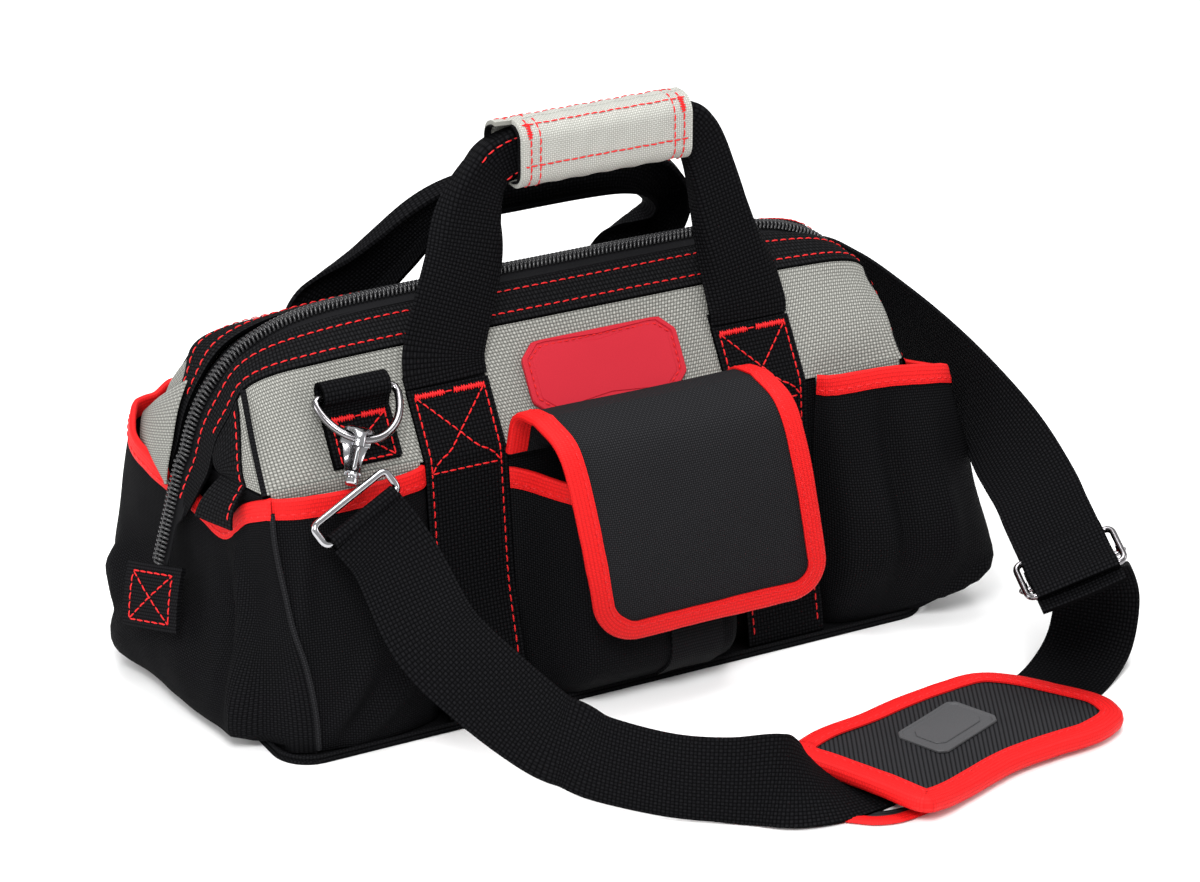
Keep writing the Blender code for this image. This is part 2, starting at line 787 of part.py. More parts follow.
def zip_half_rows(turn):
    """The tape with the coil on its edge, as one section along the mouth."""
    low = -zip_tape_inset - zip_tape_thickness
    section = (
        (zip_tape_half_width, low), (zip_tape_half_width, -zip_tape_inset),
        (coil_radius * 1.75, -zip_tape_inset), (coil_radius * 1.6, 0.0), (coil_radius, coil_radius * 0.5),
        (zip_half_gap, 0.0), (zip_half_gap, -zip_tape_inset), (coil_radius * 0.6, low * 1.2),
        (coil_radius * 1.4, low),
    )
    rows = []
    for i in range(39):
        u = i / 38
        ahead = spline(zip_line, min(u + 0.01, 1)) - spline(zip_line, max(u - 0.01, 0))
        up = Vector((-ahead.z, 0, ahead.x)).normalized()
        ring = []
        for depth, height in section:
            on_band = band_surface(u, band_share(u, depth))
            ring.append(turn(Vector((on_band.x, -depth, on_band.z)) + up * height))
        rows.append(ring)
    return rows


def mouth(front_side):
    """One half of the mouth. The back half is the front half turned."""
    side = "front" if front_side else "back"
    at = (lambda place: place) if front_side else turned_place
    turn = (lambda point: point) if front_side else turned
    columns = panel_columns
    inner = raised(upper_panel, -panel_thickness * 0.55, 0.012)
    pieces = [sheet(side + "_upper_panel", at(inner), columns, 4, panel_thickness, "grey_weave")]
    band_start = zip_tape_half_width + clearance
    band = at(band_strip(band_start, None))
    pieces.append(sheet(side + "_band", band, 38, 2, band_thickness, "black_weave"))
    pieces.append(swept(side + "_zip_half", zip_half_rows(turn), "zip_black"))
    wire_drop = band_thickness / 2 + frame_wire_radius + clearance * 3
    wire_surface = raised(band_surface, frame_side * wire_drop)
    points = [turn(wire_surface(mix(0.012, 0.988, i / 36), 0.62)) for i in range(37)]
    wire = wire_curve(side + "_frame_wire", [points], frame_wire_radius, "steel", resolution=1)
    pieces.append(wire)
    return pieces


frame_side = 1
slope_up = Vector((0, fold_half_depth - band_edge_half_depth, band_edge_height - fold_height)).normalized()
slope_out = Vector((0, -slope_up.z, slope_up.y))


def on_slope(x, along, out):
    """A point on the front upper panel, from the fold up the slope and out from its face."""
    return Vector((x, -fold_half_depth, fold_height)) + slope_up * along + slope_out * out


anchor_length = (anchor_top_height - fold_height) / slope_up.z


def web_anchor(middle_x):
    def place(u, v):
        x = middle_x + mix(-web_width / 2, web_width / 2, u)
        return on_slope(x, mix(fold_gap * 3, anchor_length, v), clearance * 3 + web_thickness / 2)
    return place


def ring_tab(name, x, turn):
    """A doubled web with a loop for the ring's bar, as one solid, on the upper panel."""
    middle_out = clearance * 2 + tab_loop_outer_radius
    doubled = web_thickness * 2
    meet = math.sqrt(tab_loop_outer_radius**2 - (tab_loop_outer_radius - doubled) ** 2)
    circle = arc((tab_loop_place, tab_loop_outer_radius), tab_loop_outer_radius, -math.pi / 2,
                 math.pi + math.acos(meet / tab_loop_outer_radius) * 0.98, 16)
    outline = [(tab_foot, 0.0)] + circle + [(tab_foot, doubled)]
    hole = arc((tab_loop_place, tab_loop_outer_radius), tab_loop_inner_radius, 0, math.tau * 15 / 16, 15)
    origin = on_slope(x, 0, clearance * 2)
    frame = frame_from(origin, slope_up, slope_out)
    if turn:
        frame = Matrix.Rotation(math.pi, 4, "Z") @ frame
    obj = flat_solid(name, [outline, hole], tab_width / 2, "black_web", frame)
    return obj, on_slope(x, tab_loop_place, middle_out)


tab_loop_outer_radius = tab_loop_inner_radius + web_thickness


def badge():
    """The rubber patch: a plain eight-sided plate on the upper panel."""
    outline = []
    for sx, sy in ((1, 1), (-1, 1), (-1, -1), (1, -1)):
        near = (sx * badge_half_length, sy * (badge_half_height - badge_corner_cut))
        far = (sx * (badge_half_length - badge_corner_cut), sy * badge_half_height)
        outline += [near, far] if sx * sy > 0 else [far, near]
    out = clearance * 2 + badge_thickness / 2
    frame = frame_from(on_slope(badge_middle_x, badge_place, out), (1, 0, 0), slope_up)
    return flat_solid("badge_patch", [outline], badge_thickness / 2, "red_rubber", frame)


# The zip's tails below the fold, its end tabs, the slider and its pull

def tail_point(row):
    x, height = tail_shares[row]
    return Vector((-x * fold_half_length, 0, height * fold_height))


tail_line = [tail_point(row) for row in range(len(tail_shares))]
tail_low, tail_bend = tail_line[-1], tail_line[-2]
tail_up = (tail_bend - tail_low).normalized()
tail_out = Vector((-tail_up.z, 0, tail_up.x))


def tail_rows(turn):
    """The closed zip below the fold, with the ends of the band sewn along it as far as they reach."""
    tape_top = -zip_tape_inset
    tape_low = tape_top - zip_tape_thickness
    band_low = tape_top - band_thickness
    coil = [(math.cos(angle) * tail_coil_radius, math.sin(angle) * tail_coil_radius)
            for angle in (mix(math.pi * 1.22, -math.pi * 0.22, i / 8) for i in range(9))]
    rows = []
    heights = (0.0, 0.15, 0.32, 0.49, 0.50, 0.54, 0.70, 0.85, 1.0)
    for share in heights:
        point = spline(tail_line, share)
        taper = mix(band_leg_half_depth, band_tail_half_depth, share / 0.49)
        wide = taper if share < 0.495 else zip_tape_half_width + clearance
        low = band_low if share < 0.495 else tape_low
        section = [(-wide, low), (-wide, tape_top), (-zip_tape_half_width, tape_top)] + coil
        section += [(zip_tape_half_width, tape_top), (wide, tape_top), (wide, low)]
        rows.append([turn(point + Vector((0, y, 0)) + tail_out * out) for y, out in section])
    return rows


def zip_tails():
    swept("left_zip_tail", tail_rows(lambda point: point), "zip_black")
    swept("right_zip_tail", tail_rows(turned), "zip_black")
    shape = bmesh.new()
    across = Vector((0.50, -0.85, 0.10)).normalized()
    down = Vector((-0.30, -0.10, -0.95))
    down = (down - across * down.dot(across)).normalized()
    top = tail_low - tail_up * (end_tab_thickness * 0.5)
    made = bmesh.ops.create_cube(shape, size=1.0)
    for vert in made["verts"]:
        x, y, z = vert.co
        place = top + across * (x * end_tab_width) + down * ((0.5 - y) * end_tab_height)
        vert.co = place + down.cross(across) * (z * end_tab_thickness)
    mesh_object("left_zip_tab", shape, "black_web", smooth=False)


def cylinder_between(shape, start, end, radius, sides=16):
    axis = end - start
    turn = axis.to_track_quat("Z", "Y").to_matrix().to_4x4()
    frame = Matrix.Translation((start + end) / 2) @ turn
    bmesh.ops.create_cone(shape, cap_ends=True, segments=sides, radius1=radius, radius2=radius,
                          depth=axis.length, matrix=frame)


def block(shape, frame, size, offset=(0, 0, 0)):
    made = bmesh.ops.create_cube(shape, size=1.0)
    for vert in made["verts"]:
        local = Vector((vert.co.x * size[0], vert.co.y * size[1], vert.co.z * size[2]))
        vert.co = frame @ (local + Vector(offset))


def cutter(name, shape):
    mesh = bpy.data.meshes.new(name)
    shape.to_mesh(mesh)
    shape.free()
    obj = bpy.data.objects.new(name, mesh)
    cutters.objects.link(obj)
    obj.hide_render = True
    obj.display_type = "WIRE"
    return obj


def boolean(obj, tool, operation):
    change = obj.modifiers.new(operation.lower(), "BOOLEAN")
    change.object = tool
    change.operation = operation
    change.solver = "EXACT"


def zip_slider():
    """A saddle over the right end's coil, and its hanging pull."""
    up, out = turned(tail_up), turned(tail_out)
    middle = turned(tail_low) + up * slider_place
    frame = frame_from(middle, up, (0, 1, 0))
    outward = 1 if (frame.to_3x3() @ Vector((0, 0, 1))).dot(out) > 0 else -1
    channel = tail_coil_radius + slider_clearance
    shape = bmesh.new()
    depth = channel + slider_cap
    block(shape, frame, (slider_length, slider_width, depth), (0, 0, outward * depth / 2))
    slider = mesh_object("zip_slider", shape, "gunmetal", smooth=False)
    cut = bmesh.new()
    cylinder_between(cut, frame @ Vector((-slider_length, 0, 0)), frame @ Vector((slider_length, 0, 0)), channel)
    boolean(slider, cutter("slider_channel", cut), "DIFFERENCE")
    pull_top = middle + out * (depth + clearance * 2 + pull_thickness / 2) + up * (slider_length / 2)
    hang = Vector((0.3, 0, -1)).normalized()
    pull_frame = frame_from(pull_top + hang * (pull_length / 2), hang, (0, 1, 0))
    outline = rounded_rectangle(pull_length / 2, pull_width / 2, pull_width / 3, 3)
    pull = flat_solid("zip_pull", [outline], pull_thickness / 2, "gunmetal", pull_frame)
    slide = joint_empty("slider_slide", middle)
    carried_by(slide, slider)
    swing = joint_empty("pull_swing", pull_top, slide)
    carried_by(swing, pull)
    return middle, up, pull_top


# Rings and snap hooks, built on the left front and turned for the right back

def ring_and_hook(turn, loop_direction, loop_fall):
    side = "right" if turn else "left"
    tab, bar = ring_tab(side + "_ring_tab", -ring_tab_x, turn)
    down = -slope_up * math.cos(ring_lean) + slope_out * math.sin(ring_lean)
    bar += down * ring_sag
    across = Vector((1, 0, 0))
    at = turned if turn else (lambda point: point)

    def ring_point(angle):
        return bar + across * (ring_half_width * math.cos(angle)) + down * (ring_depth * math.sin(angle))
    bends = [bar + across * (ring_half_width * x) + down * (ring_depth * y) for x, y in ring_bend_shares]
    arch = [ring_point(mix(ring_arch_start, math.pi - ring_arch_start, i / 16)) for i in range(17)]
    far_bends = [bar * 2 - point + down * (2 * (point - bar).dot(down)) for point in reversed(bends)]
    points = [at(point) for point in bends + arch + far_bends]
    ring = wire_curve(side + "_d_ring", [points], ring_wire_radius, "gunmetal", closed=True)

    held = ring_point(hook_place_angle)
    tangent = ring_point(hook_place_angle + 0.05) - ring_point(hook_place_angle - 0.05)
    tangent.normalize()
    axis = Vector(hook_direction)
    axis = (axis - tangent * axis.dot(tangent)).normalized()
    eye = held + axis * (eye_radius - claw_radius - ring_wire_radius - clearance)
    out = tangent.cross(axis).normalized()
    if out.y > 0:
        out = -out

    def flat(across_out, along):
        return eye + out * across_out + axis * along
    claw = [flat(0, shank_length)]
    claw.append(flat(-eye_radius * 0.55, shank_length * 0.72))
    claw.append(flat(-eye_radius * 0.95, shank_length * 0.38))
    for i in range(13):
        angle = math.pi * (1 - i / 12)
        claw.append(flat(eye_radius * math.cos(angle), -eye_radius * math.sin(angle)))
    claw.append(flat(eye_radius * 0.97, eye_radius * 0.45))
    hook = wire_curve("claw", [[at(point) for point in claw]], claw_radius, "chrome")
    barrel_shape = bmesh.new()
    barrel_top = eye + axis * (shank_length - claw_radius * 0.5)
    barrel_foot = barrel_top + axis * barrel_length
    cylinder_between(barrel_shape, at(barrel_top), at(barrel_foot), barrel_radius)
    barrel = mesh_object("barrel", barrel_shape, "chrome")
    hook_solid = united(side + "_snap_hook", hook, barrel, "chrome")

    gate_top = flat(eye_radius * 0.97, eye_radius * 0.45 + clearance * 2)
    gate_foot = flat(barrel_radius * 0.85, shank_length - claw_radius * 0.5 - gate_radius * 0.5 - clearance)
    gate_shape = bmesh.new()
    cylinder_between(gate_shape, at(gate_top), at(gate_foot), gate_radius, 10)
    gate = mesh_object(side + "_hook_gate", gate_shape, "chrome")

    length = Vector(loop_direction).normalized()
    oblique = abs(axis.dot(length))
    reach = (barrel_radius * oblique + loop_wire_radius) / math.sqrt(1 - oblique**2)
    bar_middle = barrel_foot + axis * (reach + clearance)
    fall = Vector(loop_fall)
    fall = (fall - length * fall.dot(length)).normalized()
    half = length * loop_half_length
    loop = bent_corners([
        bar_middle - half, bar_middle + half,
        bar_middle + half + fall * loop_depth, bar_middle - half + fall * loop_depth,
    ], loop_wire_radius * 1.6)
    wire = wire_curve(side + "_hook_loop", [[at(point) for point in loop]], loop_wire_radius, "chrome",
                      closed=True)
    strap_start = bar_middle + fall * (loop_depth + loop_wire_radius + clearance * 3)
    ring_slide = joint_empty(side + "_ring_slide", at(bar))
    carried_by(ring_slide, ring, wire)
    swivel = joint_empty(side + "_hook_swivel", at(eye), ring_slide)
    carried_by(swivel, hook_solid)
    gate_hinge = joint_empty(side + "_gate_hinge", at(gate_foot), swivel)
    carried_by(gate_hinge, gate)
    print(side, "ring bar", [round(c, 5) for c in at(bar)], "eye", [round(c, 5) for c in at(eye)],
          "axis", [round(c, 5) for c in turned_axis(axis, turn)],
          "gate foot", [round(c, 5) for c in at(gate_foot)],
          "tangent", [round(c, 5) for c in turned_axis(tangent, turn)])
    print(side, "strap start", [round(c, 5) for c in at(strap_start)])
    return tab, strap_start, length


def turned_axis(axis, turn):
    return turned(axis) if turn else Vector(axis)


hook_direction = (-0.405, -0.530, -0.748)


def united(name, curve_piece, mesh_piece, finish):
    """A curve and a mesh made one solid."""
    bpy.context.view_layer.update()
    graph = bpy.context.evaluated_depsgraph_get()
    mesh = bpy.data.meshes.new_from_object(curve_piece.evaluated_get(graph))
    shape = bmesh.new()
    shape.from_mesh(mesh)
    bpy.data.meshes.remove(mesh)
    bmesh.ops.remove_doubles(shape, verts=shape.verts, dist=clearance / 100)
    shape.transform(curve_piece.matrix_world)
    bpy.data.objects.remove(curve_piece, do_unlink=True)
    tool_shape = bmesh.new()
    tool_shape.from_mesh(mesh_piece.data)
    bpy.data.objects.remove(mesh_piece, do_unlink=True)
    obj = mesh_object(name, shape, finish)
    boolean(obj, cutter(name + "_union", tool_shape), "UNION")
    return obj


# Handles, the grip wrap and its flap

handle_foot = on_slope(0, anchor_length + web_thickness * 0.7, clearance * 4 + web_thickness / 2)


def handle_stations(legs, top):
    """The first leg up, the top run and the second leg down. Each leg is its foot's x, the x where its side
    of the run ends and its shares; top is the top run's depth and height."""
    stations = []
    for leg_number, (foot_x, run_x, shares) in enumerate(legs):
        leg = []
        away = -1 if leg_number == 0 else 1
        for x_share, depth, height, fold, turn in shares:
            middle = Vector((mix(run_x, foot_x, x_share), mix(handle_foot.y, top[0], depth),
                             mix(handle_foot.z, top[1], height)))
            tilt = turn * math.pi / 2
            leg.append((middle, Vector((math.cos(tilt) * -away, 0, -math.sin(tilt))), fold))
        stations += leg if leg_number == 0 else reversed(leg)
    return stations


def handle_web(name, legs, top, turn):
    stations = handle_stations(legs, top)
    folds = [Vector((f, 0)) for m, d, f in stations]

    def folded(share):
        return min(max(spline(folds, share).x, 0), 1)

    def width(share):
        return mix(web_width, handle_fold_width, folded(share))

    def thickness(share):
        return mix(web_thickness, handle_fold_thickness, folded(share))
    rings = ribbon_rings([(m, d) for m, d, f in stations], 52, width, thickness)
    if turn:
        rings = [[turned(point) for point in ring] for ring in rings]
    shape = bmesh.new()
    add_loft(shape, rings)
    bmesh.ops.triangulate(shape, faces=shape.faces)
    return mesh_object(name, shape, "black_web")


def grip_outline(half_height, half_depth, radius):
    """Points in (depth, height), from the bottom's middle anticlockwise seen from +X."""
    return rounded_rectangle(half_depth, half_height, radius, 4)


def grip():
    """A wrap round the front handle: a back half that is fixed and a front flap hinged along the top."""
    outer = grip_outline(grip_half_height, grip_half_depth, grip_corner_radius)
    inner = grip_outline(grip_half_height - grip_thickness, grip_half_depth - grip_thickness,
                         grip_corner_radius - grip_thickness)
    middle = Vector((grip_middle_x, handle_front_y, handle_top_height))
    frame = frame_from(middle, (0, 1, 0), (0, 0, 1))
    wrap = flat_solid("tube", [outer, inner], grip_half_length, "grey_weave", frame)
    flap = flat_solid("tube_copy", [outer, inner], grip_half_length, "grey_weave", frame)
    wrap = joined("grip_wrap", [wrap], "grey_weave")
    flap = joined("grip_flap", [flap], "grey_weave")
    split = clearance / 2
    reach = grip_half_height * 2
    for piece, side in ((wrap, -1), (flap, 1)):
        cut = bmesh.new()
        block(cut, Matrix.Translation(middle), (grip_half_length * 3, reach, reach * 2),
              (0, side * (reach / 2 - split), 0))
        boolean(piece, cutter(piece.name + "_cut", cut), "DIFFERENCE")
    pivot = middle + Vector((0, -split, grip_half_height))
    return wrap, flap, pivot


# The pocket flap: a fixed root up to the crest and a flap that hangs from it

def flap_line():
    crest = Vector((0, flap_crest_y, flap_crest_height))
    root = Vector((0, flap_root_y, flap_root_height))
    front = flap_front_y
    return root, crest, [
        crest,
        Vector((0, mix(flap_crest_y, front, 0.66), mix(flap_crest_height, flap_foot_height, 0.085))),
        Vector((0, mix(flap_crest_y, front, 0.92), mix(flap_crest_height, flap_foot_height, 0.33))),
        Vector((0, front, mix(flap_crest_height, flap_foot_height, 0.68))),
        Vector((0, mix(flap_crest_y, front, 0.96), flap_foot_height)),
    ]


def flap_x(u, drop):
    left = flap_left_x + flap_skew * drop
    right = flap_right_x + flap_skew * drop
    return mix(left, right, u)


def flap_place(u, v):
    root, crest, hang = flap_line()
    point = spline(hang, mix(0.005, 1.0, v))
    low = smoothstep((v - 0.72) / 0.28)
    corner = (abs(u - 0.5) * 2) ** 6 * low * 0.13
    return Vector((flap_x(u, v), point.y, point.z + corner * (flap_crest_height - flap_foot_height)))


def flap_root_place(u, v):
    root, crest, hang = flap_line()
    shoulder = Vector((0, mix(root.y, crest.y, 0.30), mix(root.z, crest.z, 0.80)))
    point = spline([root, shoulder, crest], mix(0.0, 0.988, v))
    return Vector((flap_x(u, 0), point.y, point.z))


def pocket_flap():
    root, crest, hang = flap_line()
    flap_root = sheet("flap_root", flap_root_place, 8, 5, flap_thickness, "black_weave")
    flap = sheet("pocket_flap", flap_place, 12, 10, flap_thickness, "black_weave")
    pivot = joint_empty("pocket_flap_hinge", crest)
    carried_by(pivot, flap)
    return flap_root, crest


# Shoulder strap, slide buckle and pad

def strap_stations(shares):
    return [
        (Vector((x * fold_half_length, y * base_half_depth, z * fold_height)), Vector(direction))
        for (x, y, z), direction in shares
    ]


def share_point(shares):
    x, y, z = shares
    return Vector((x * fold_half_length, y * base_half_depth, z * fold_height))


def between(first, last, gap):
    """The last station of one run moved back towards the one before, to leave a gap."""
    step = (first[0] - last[0]).normalized()
    return (last[0] + step * gap, last[1])


def shoulder_strap(front_start, front_length, back_start, back_length):
    """The web from the left hook round the front under the pad, and from the buckle to the right hook."""
    front = strap_stations(front_run_shares)
    ground = strap_stations(ground_run_shares)
    side = strap_stations(side_run_shares)
    low, high = share_point(glide_low_shares), share_point(glide_high_shares)
    straight = (high - low).normalized()
    across = Vector(glide_width_direction)
    across = (across - straight * across.dot(straight)).normalized()
    normal = straight.cross(across)
    if normal.z > 0:
        normal = -normal
    join = (mix(front[-1][0], ground[0][0], 0.5), front[-1][1] + ground[0][1])
    front_line = [(front_start, front_length)] + front + [between(front[-1], join, strap_join_gap)]
    strap_run("strap_front_run", front_line, 20)
    under = strap_thickness + glide_offset + glide_radius * 2 + clearance * 2
    ground_line = [between(ground[0], join, strap_join_gap)] + ground
    ground_line.append((low + straight * glide_place * 1.9 + normal * under * 1.4, -across))
    ground_line.append((low + straight * glide_place * 0.9 + normal * under, -across))
    strap_run("strap_middle_run", ground_line, 62)
    side_line = [(mix(low, high, share), across) for share in (0.0, 0.35, 0.7, 1.0)] + side
    side_line.append((back_start, back_length))
    strap_run("strap_side_run", side_line, 40)
    return low, straight, across


def slide_buckle(low, straight, width_direction):
    """Two end bars on one side of the strap and a middle bar on the other, between two side rails."""
    middle = low + straight * glide_place
    normal = straight.cross(width_direction).normalized()
    if normal.z < 0:
        normal = -normal
    offset = glide_offset

    def at(along, across, out):
        return middle + straight * along + width_direction * across + normal * out
    corners = [at(-glide_half_height, -glide_half_length, offset), at(-glide_half_height, glide_half_length, offset),
               at(glide_half_height, glide_half_length, offset), at(glide_half_height, -glide_half_length, offset)]
    frame = wire_curve("frame", [bent_corners(corners, glide_radius * 1.6)], glide_radius, "steel", closed=True)
    shape = bmesh.new()
    ends = []
    for side in (-1, 1):
        high = at(0, side * glide_half_length, offset)
        low_end = at(0, side * glide_half_length, -offset)
        ends.append(low_end)
        cylinder_between(shape, high, low_end, glide_radius * 0.9, 10)
    bar = bmesh.new()
    cylinder_between(bar, ends[0], ends[1], glide_radius * 0.8, 10)
    posts = mesh_object("posts", shape, "steel")
    centre = mesh_object("centre", bar, "steel")
    joined_frame = united("slide_buckle", frame, posts, "steel")
    tool = bmesh.new()
    tool.from_mesh(centre.data)
    bpy.data.objects.remove(centre, do_unlink=True)
    boolean(joined_frame, cutter("slide_buckle_bar", tool), "UNION")
    pivot = joint_empty("buckle_slide", middle)
    carried_by(pivot, joined_frame)
    return middle


def pad_outline(angle):
    """The pad's edge by angle, in its own plane: a long soft shape whose ends are narrower."""
    power = 2.0 / 3.4
    cos, sin = math.cos(angle), math.sin(angle)
    x = pad_half_length * math.copysign(abs(cos) ** power, cos)
    y = pad_half_width * math.copysign(abs(sin) ** power, sin)
    return x, y * (1 - pad_taper * (x / pad_half_length) ** 2)


def pad_point(x, y, z):
    """From the pad's own plane to its place on the strap."""
    lift = pad_left_lift * smoothstep((-x / pad_half_length - 0.42) / 0.5)
    flat = Matrix.Rotation(pad_turn, 2) @ Vector((x, y))
    return Vector((pad_middle_x + flat.x, pad_middle_y + flat.y, pad_floor + lift + z))


def shoulder_pad():
    shape = bmesh.new()
    made = bmesh.ops.create_uvsphere(shape, u_segments=40, v_segments=10, radius=1.0)
    edge = clearance + binding_thickness
    for vert in made["verts"]:
        ball = vert.co.copy()
        radial = math.hypot(ball.x, ball.y)
        angle = math.atan2(ball.y, ball.x)
        x, y = pad_outline(angle)
        full = min(radial * 1.12, 1.0) if radial < 0.999 else 1.0
        height = pad_thickness / 2 * (1 + math.copysign(abs(ball.z) ** 0.42, ball.z))
        inset = 1 - edge * 2 / pad_half_width * 0.5
        vert.co = pad_point(x * full * inset, y * full * inset, height)
    pad = mesh_object("shoulder_pad", shape, "black_weave")

    def ring(u, v):
        x, y = pad_outline(math.tau * u)
        return pad_point(x, y, mix(-clearance, pad_thickness + clearance, v))
    binding = sheet("pad_binding", ring, 56, 2, binding_thickness, "red_tape", seam=clearance / 30)
    pivot = joint_empty("pad_slide", pad_point(0, 0, 0))
    carried_by(pivot, pad, binding)


clear_scene()
parts = bpy.data.collections.new("tool_bag")
cutters = bpy.data.collections.new("cutters")
bpy.context.scene.collection.children.link(parts)
bpy.context.scene.collection.children.link(cutters)

base()
walls()
pockets()
lower_webs()
zip_tails()
slider_middle, slider_up, pull_pivot = zip_slider()

fold_out = web_thickness + clearance * 4
front_pivot = joint_empty("front_mouth_hinge", Vector((0, -fold_half_depth - fold_out, fold_height)))
back_pivot = joint_empty("back_mouth_hinge", turned(front_pivot.location))
front_pieces = mouth(True)
back_pieces = mouth(False)
for middle_x, front_name, back_name in (
        (left_web_x, "front_left_anchor", "back_right_anchor"),
        (right_web_x, "front_right_anchor", "back_left_anchor")):
    anchor = web_anchor(middle_x)
    front_pieces.append(sheet(front_name, anchor, 1, 1, web_thickness, "black_web"))
    back_pieces.append(sheet(back_name, turned_place(anchor), 1, 1, web_thickness, "black_web"))
front_pieces.append(badge())
left_tab, strap_front_start, loop_length = ring_and_hook(False, left_loop_direction, left_loop_fall)
right_tab, strap_back_start, back_loop_length = ring_and_hook(True, right_loop_direction, right_loop_fall)
front_pieces.append(left_tab)
back_pieces.append(right_tab)
carried_by(front_pivot, *front_pieces)
carried_by(back_pivot, *back_pieces)

handle_out = web_thickness / 2
front_handle_pivot = joint_empty(
    "front_handle_hinge", handle_foot + slope_out * handle_out, front_pivot)
back_handle_pivot = joint_empty(
    "back_handle_hinge", turned(handle_foot + slope_out * handle_out), back_pivot)
front_legs = (
    (left_web_x, grip_middle_x - grip_half_length, front_left_leg_shares),
    (right_web_x, grip_middle_x + grip_half_length, front_right_leg_shares),
)
back_legs = (
    (left_web_x, -back_run_right_x, back_right_leg_shares),
    (right_web_x, -back_run_left_x, back_left_leg_shares),
)
front_handle = handle_web("front_handle_web", front_legs, (handle_front_y, handle_top_height), False)
back_handle = handle_web("back_handle_web", back_legs, (-handle_back_y, back_handle_top_height), True)
wrap, flap, grip_pivot = grip()
carried_by(front_handle_pivot, front_handle, wrap)
carried_by(back_handle_pivot, back_handle)
grip_hinge = joint_empty("grip_flap_hinge", grip_pivot, front_handle_pivot)
carried_by(grip_hinge, flap)

flap_root, flap_pivot = pocket_flap()
low, straight, strap_across = shoulder_strap(
    strap_front_start, loop_length, turned(strap_back_start), turned(back_loop_length))
buckle_middle = slide_buckle(low, straight, strap_across)
shoulder_pad()

for label, place in (("front mouth", front_pivot.location), ("front handle", front_handle_pivot.location),
                     ("grip flap", grip_pivot), ("pocket flap", flap_pivot), ("slider", slider_middle),
                     ("slider up", slider_up), ("pull", pull_pivot), ("buckle", buckle_middle),
                     ("buckle axis", straight)):
    print(label, [round(c, 5) for c in place])
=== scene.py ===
"""The dressed tool bag: cloth, webbing, stitches, bindings, zip, hardware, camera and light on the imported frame.

Metres, +Z up, X along the bag, the front faces -Y. The sizes and surfaces are those of the solid model.
"""

import math

import bpy
import numpy as np
from mathutils import Matrix, Vector, noise


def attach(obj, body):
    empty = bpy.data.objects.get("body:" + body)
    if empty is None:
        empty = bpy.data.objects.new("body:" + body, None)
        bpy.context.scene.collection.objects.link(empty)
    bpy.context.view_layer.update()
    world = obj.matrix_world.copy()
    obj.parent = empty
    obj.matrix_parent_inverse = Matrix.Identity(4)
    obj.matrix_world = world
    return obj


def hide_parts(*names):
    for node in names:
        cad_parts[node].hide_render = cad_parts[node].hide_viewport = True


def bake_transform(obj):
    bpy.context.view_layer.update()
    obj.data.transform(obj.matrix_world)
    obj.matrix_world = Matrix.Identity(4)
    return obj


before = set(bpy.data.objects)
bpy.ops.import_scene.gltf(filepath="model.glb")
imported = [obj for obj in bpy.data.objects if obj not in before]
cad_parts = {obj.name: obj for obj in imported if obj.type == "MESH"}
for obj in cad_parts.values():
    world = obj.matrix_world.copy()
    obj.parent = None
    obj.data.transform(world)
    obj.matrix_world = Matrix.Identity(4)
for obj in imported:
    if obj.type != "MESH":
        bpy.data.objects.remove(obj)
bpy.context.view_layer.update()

# Sizes of the solid model: half lengths and depths, heights, thicknesses, and places along X
L, WALL, FOLD = 0.2025, 0.088, 0.073
BASE_L, BASE_W = 0.2085, 0.1065
FOLD_Z, RIDGE_Z, EDGE_Z, EDGE_Y = 0.150, 0.2235, 0.2065, 0.036
GAP, PANEL, POCKET, BIND = 0.0003, 0.0016, 0.0014, 0.0012
WEB_W, WEB_T, TAPE_W = 0.050, 0.0022, 0.0105
LEFT_X, RIGHT_X, RING_X, BADGE_X = -0.0825, 0.1105, -0.140, 0.014
POCKET_FOOT, POCKET_START = 0.0036, -L + 0.0017
WRAP_TOP, WRAP_DIP = 0.156, 0.12525
GRIP = Vector((0.024, -0.030, 0.304))

# Shares of those sizes: the mouth's zip and edge lines, the pockets' plans and the handles' legs
MOUTH = (
    (1.079, 0.012, 1.062, 0.750, 0.012), (1.050, 0.270, 1.040, 0.790, 0.320),
    (1.002, 0.510, 1.002, 0.870, 0.590), (0.925, 0.735, 0.970, 0.960, 0.845),
    (0.835, 0.870, 0.890, 1.000, 0.955), (0.730, 0.950, 0.740, 1.020, 0.990),
    (0.580, 0.990, 0.580, 1.015, 1.000), (0.300, 1.000, 0.300, 1.000, 1.000),
    (0.000, 1.000, 0.000, 1.000, 1.000),
)
TAIL = ((1.089, 0.996), (1.1157, 0.864), (1.1423, 0.732), (1.169, 0.600))
WRAP = (
    ((0.684, -1.225), (0.740, -1.335), (0.870, -1.375), (0.980, -1.365), (1.005, -1.180),
     (1.008, -0.620), (1.008, 0.000), (1.006, 0.620), (1.004, 1.130)),
    ((0.684, -1.180), (0.740, -1.540), (0.885, -1.710), (1.050, -1.660), (1.148, -1.330),
     (1.140, -0.780), (1.100, 0.000), (1.060, 0.620), (1.008, 1.130)),
    ((0.684, -1.105), (0.740, -1.370), (0.890, -1.450), (1.055, -1.420), (1.128, -1.180),
     (1.128, -0.650), (1.094, 0.000), (1.048, 0.600), (1.008, 1.090)),
    ((0.684, -1.130), (0.740, -1.200), (0.890, -1.240), (1.045, -1.240), (1.098, -1.080),
     (1.096, -0.600), (1.060, 0.000), (1.032, 0.560), (1.006, 1.010)),
)
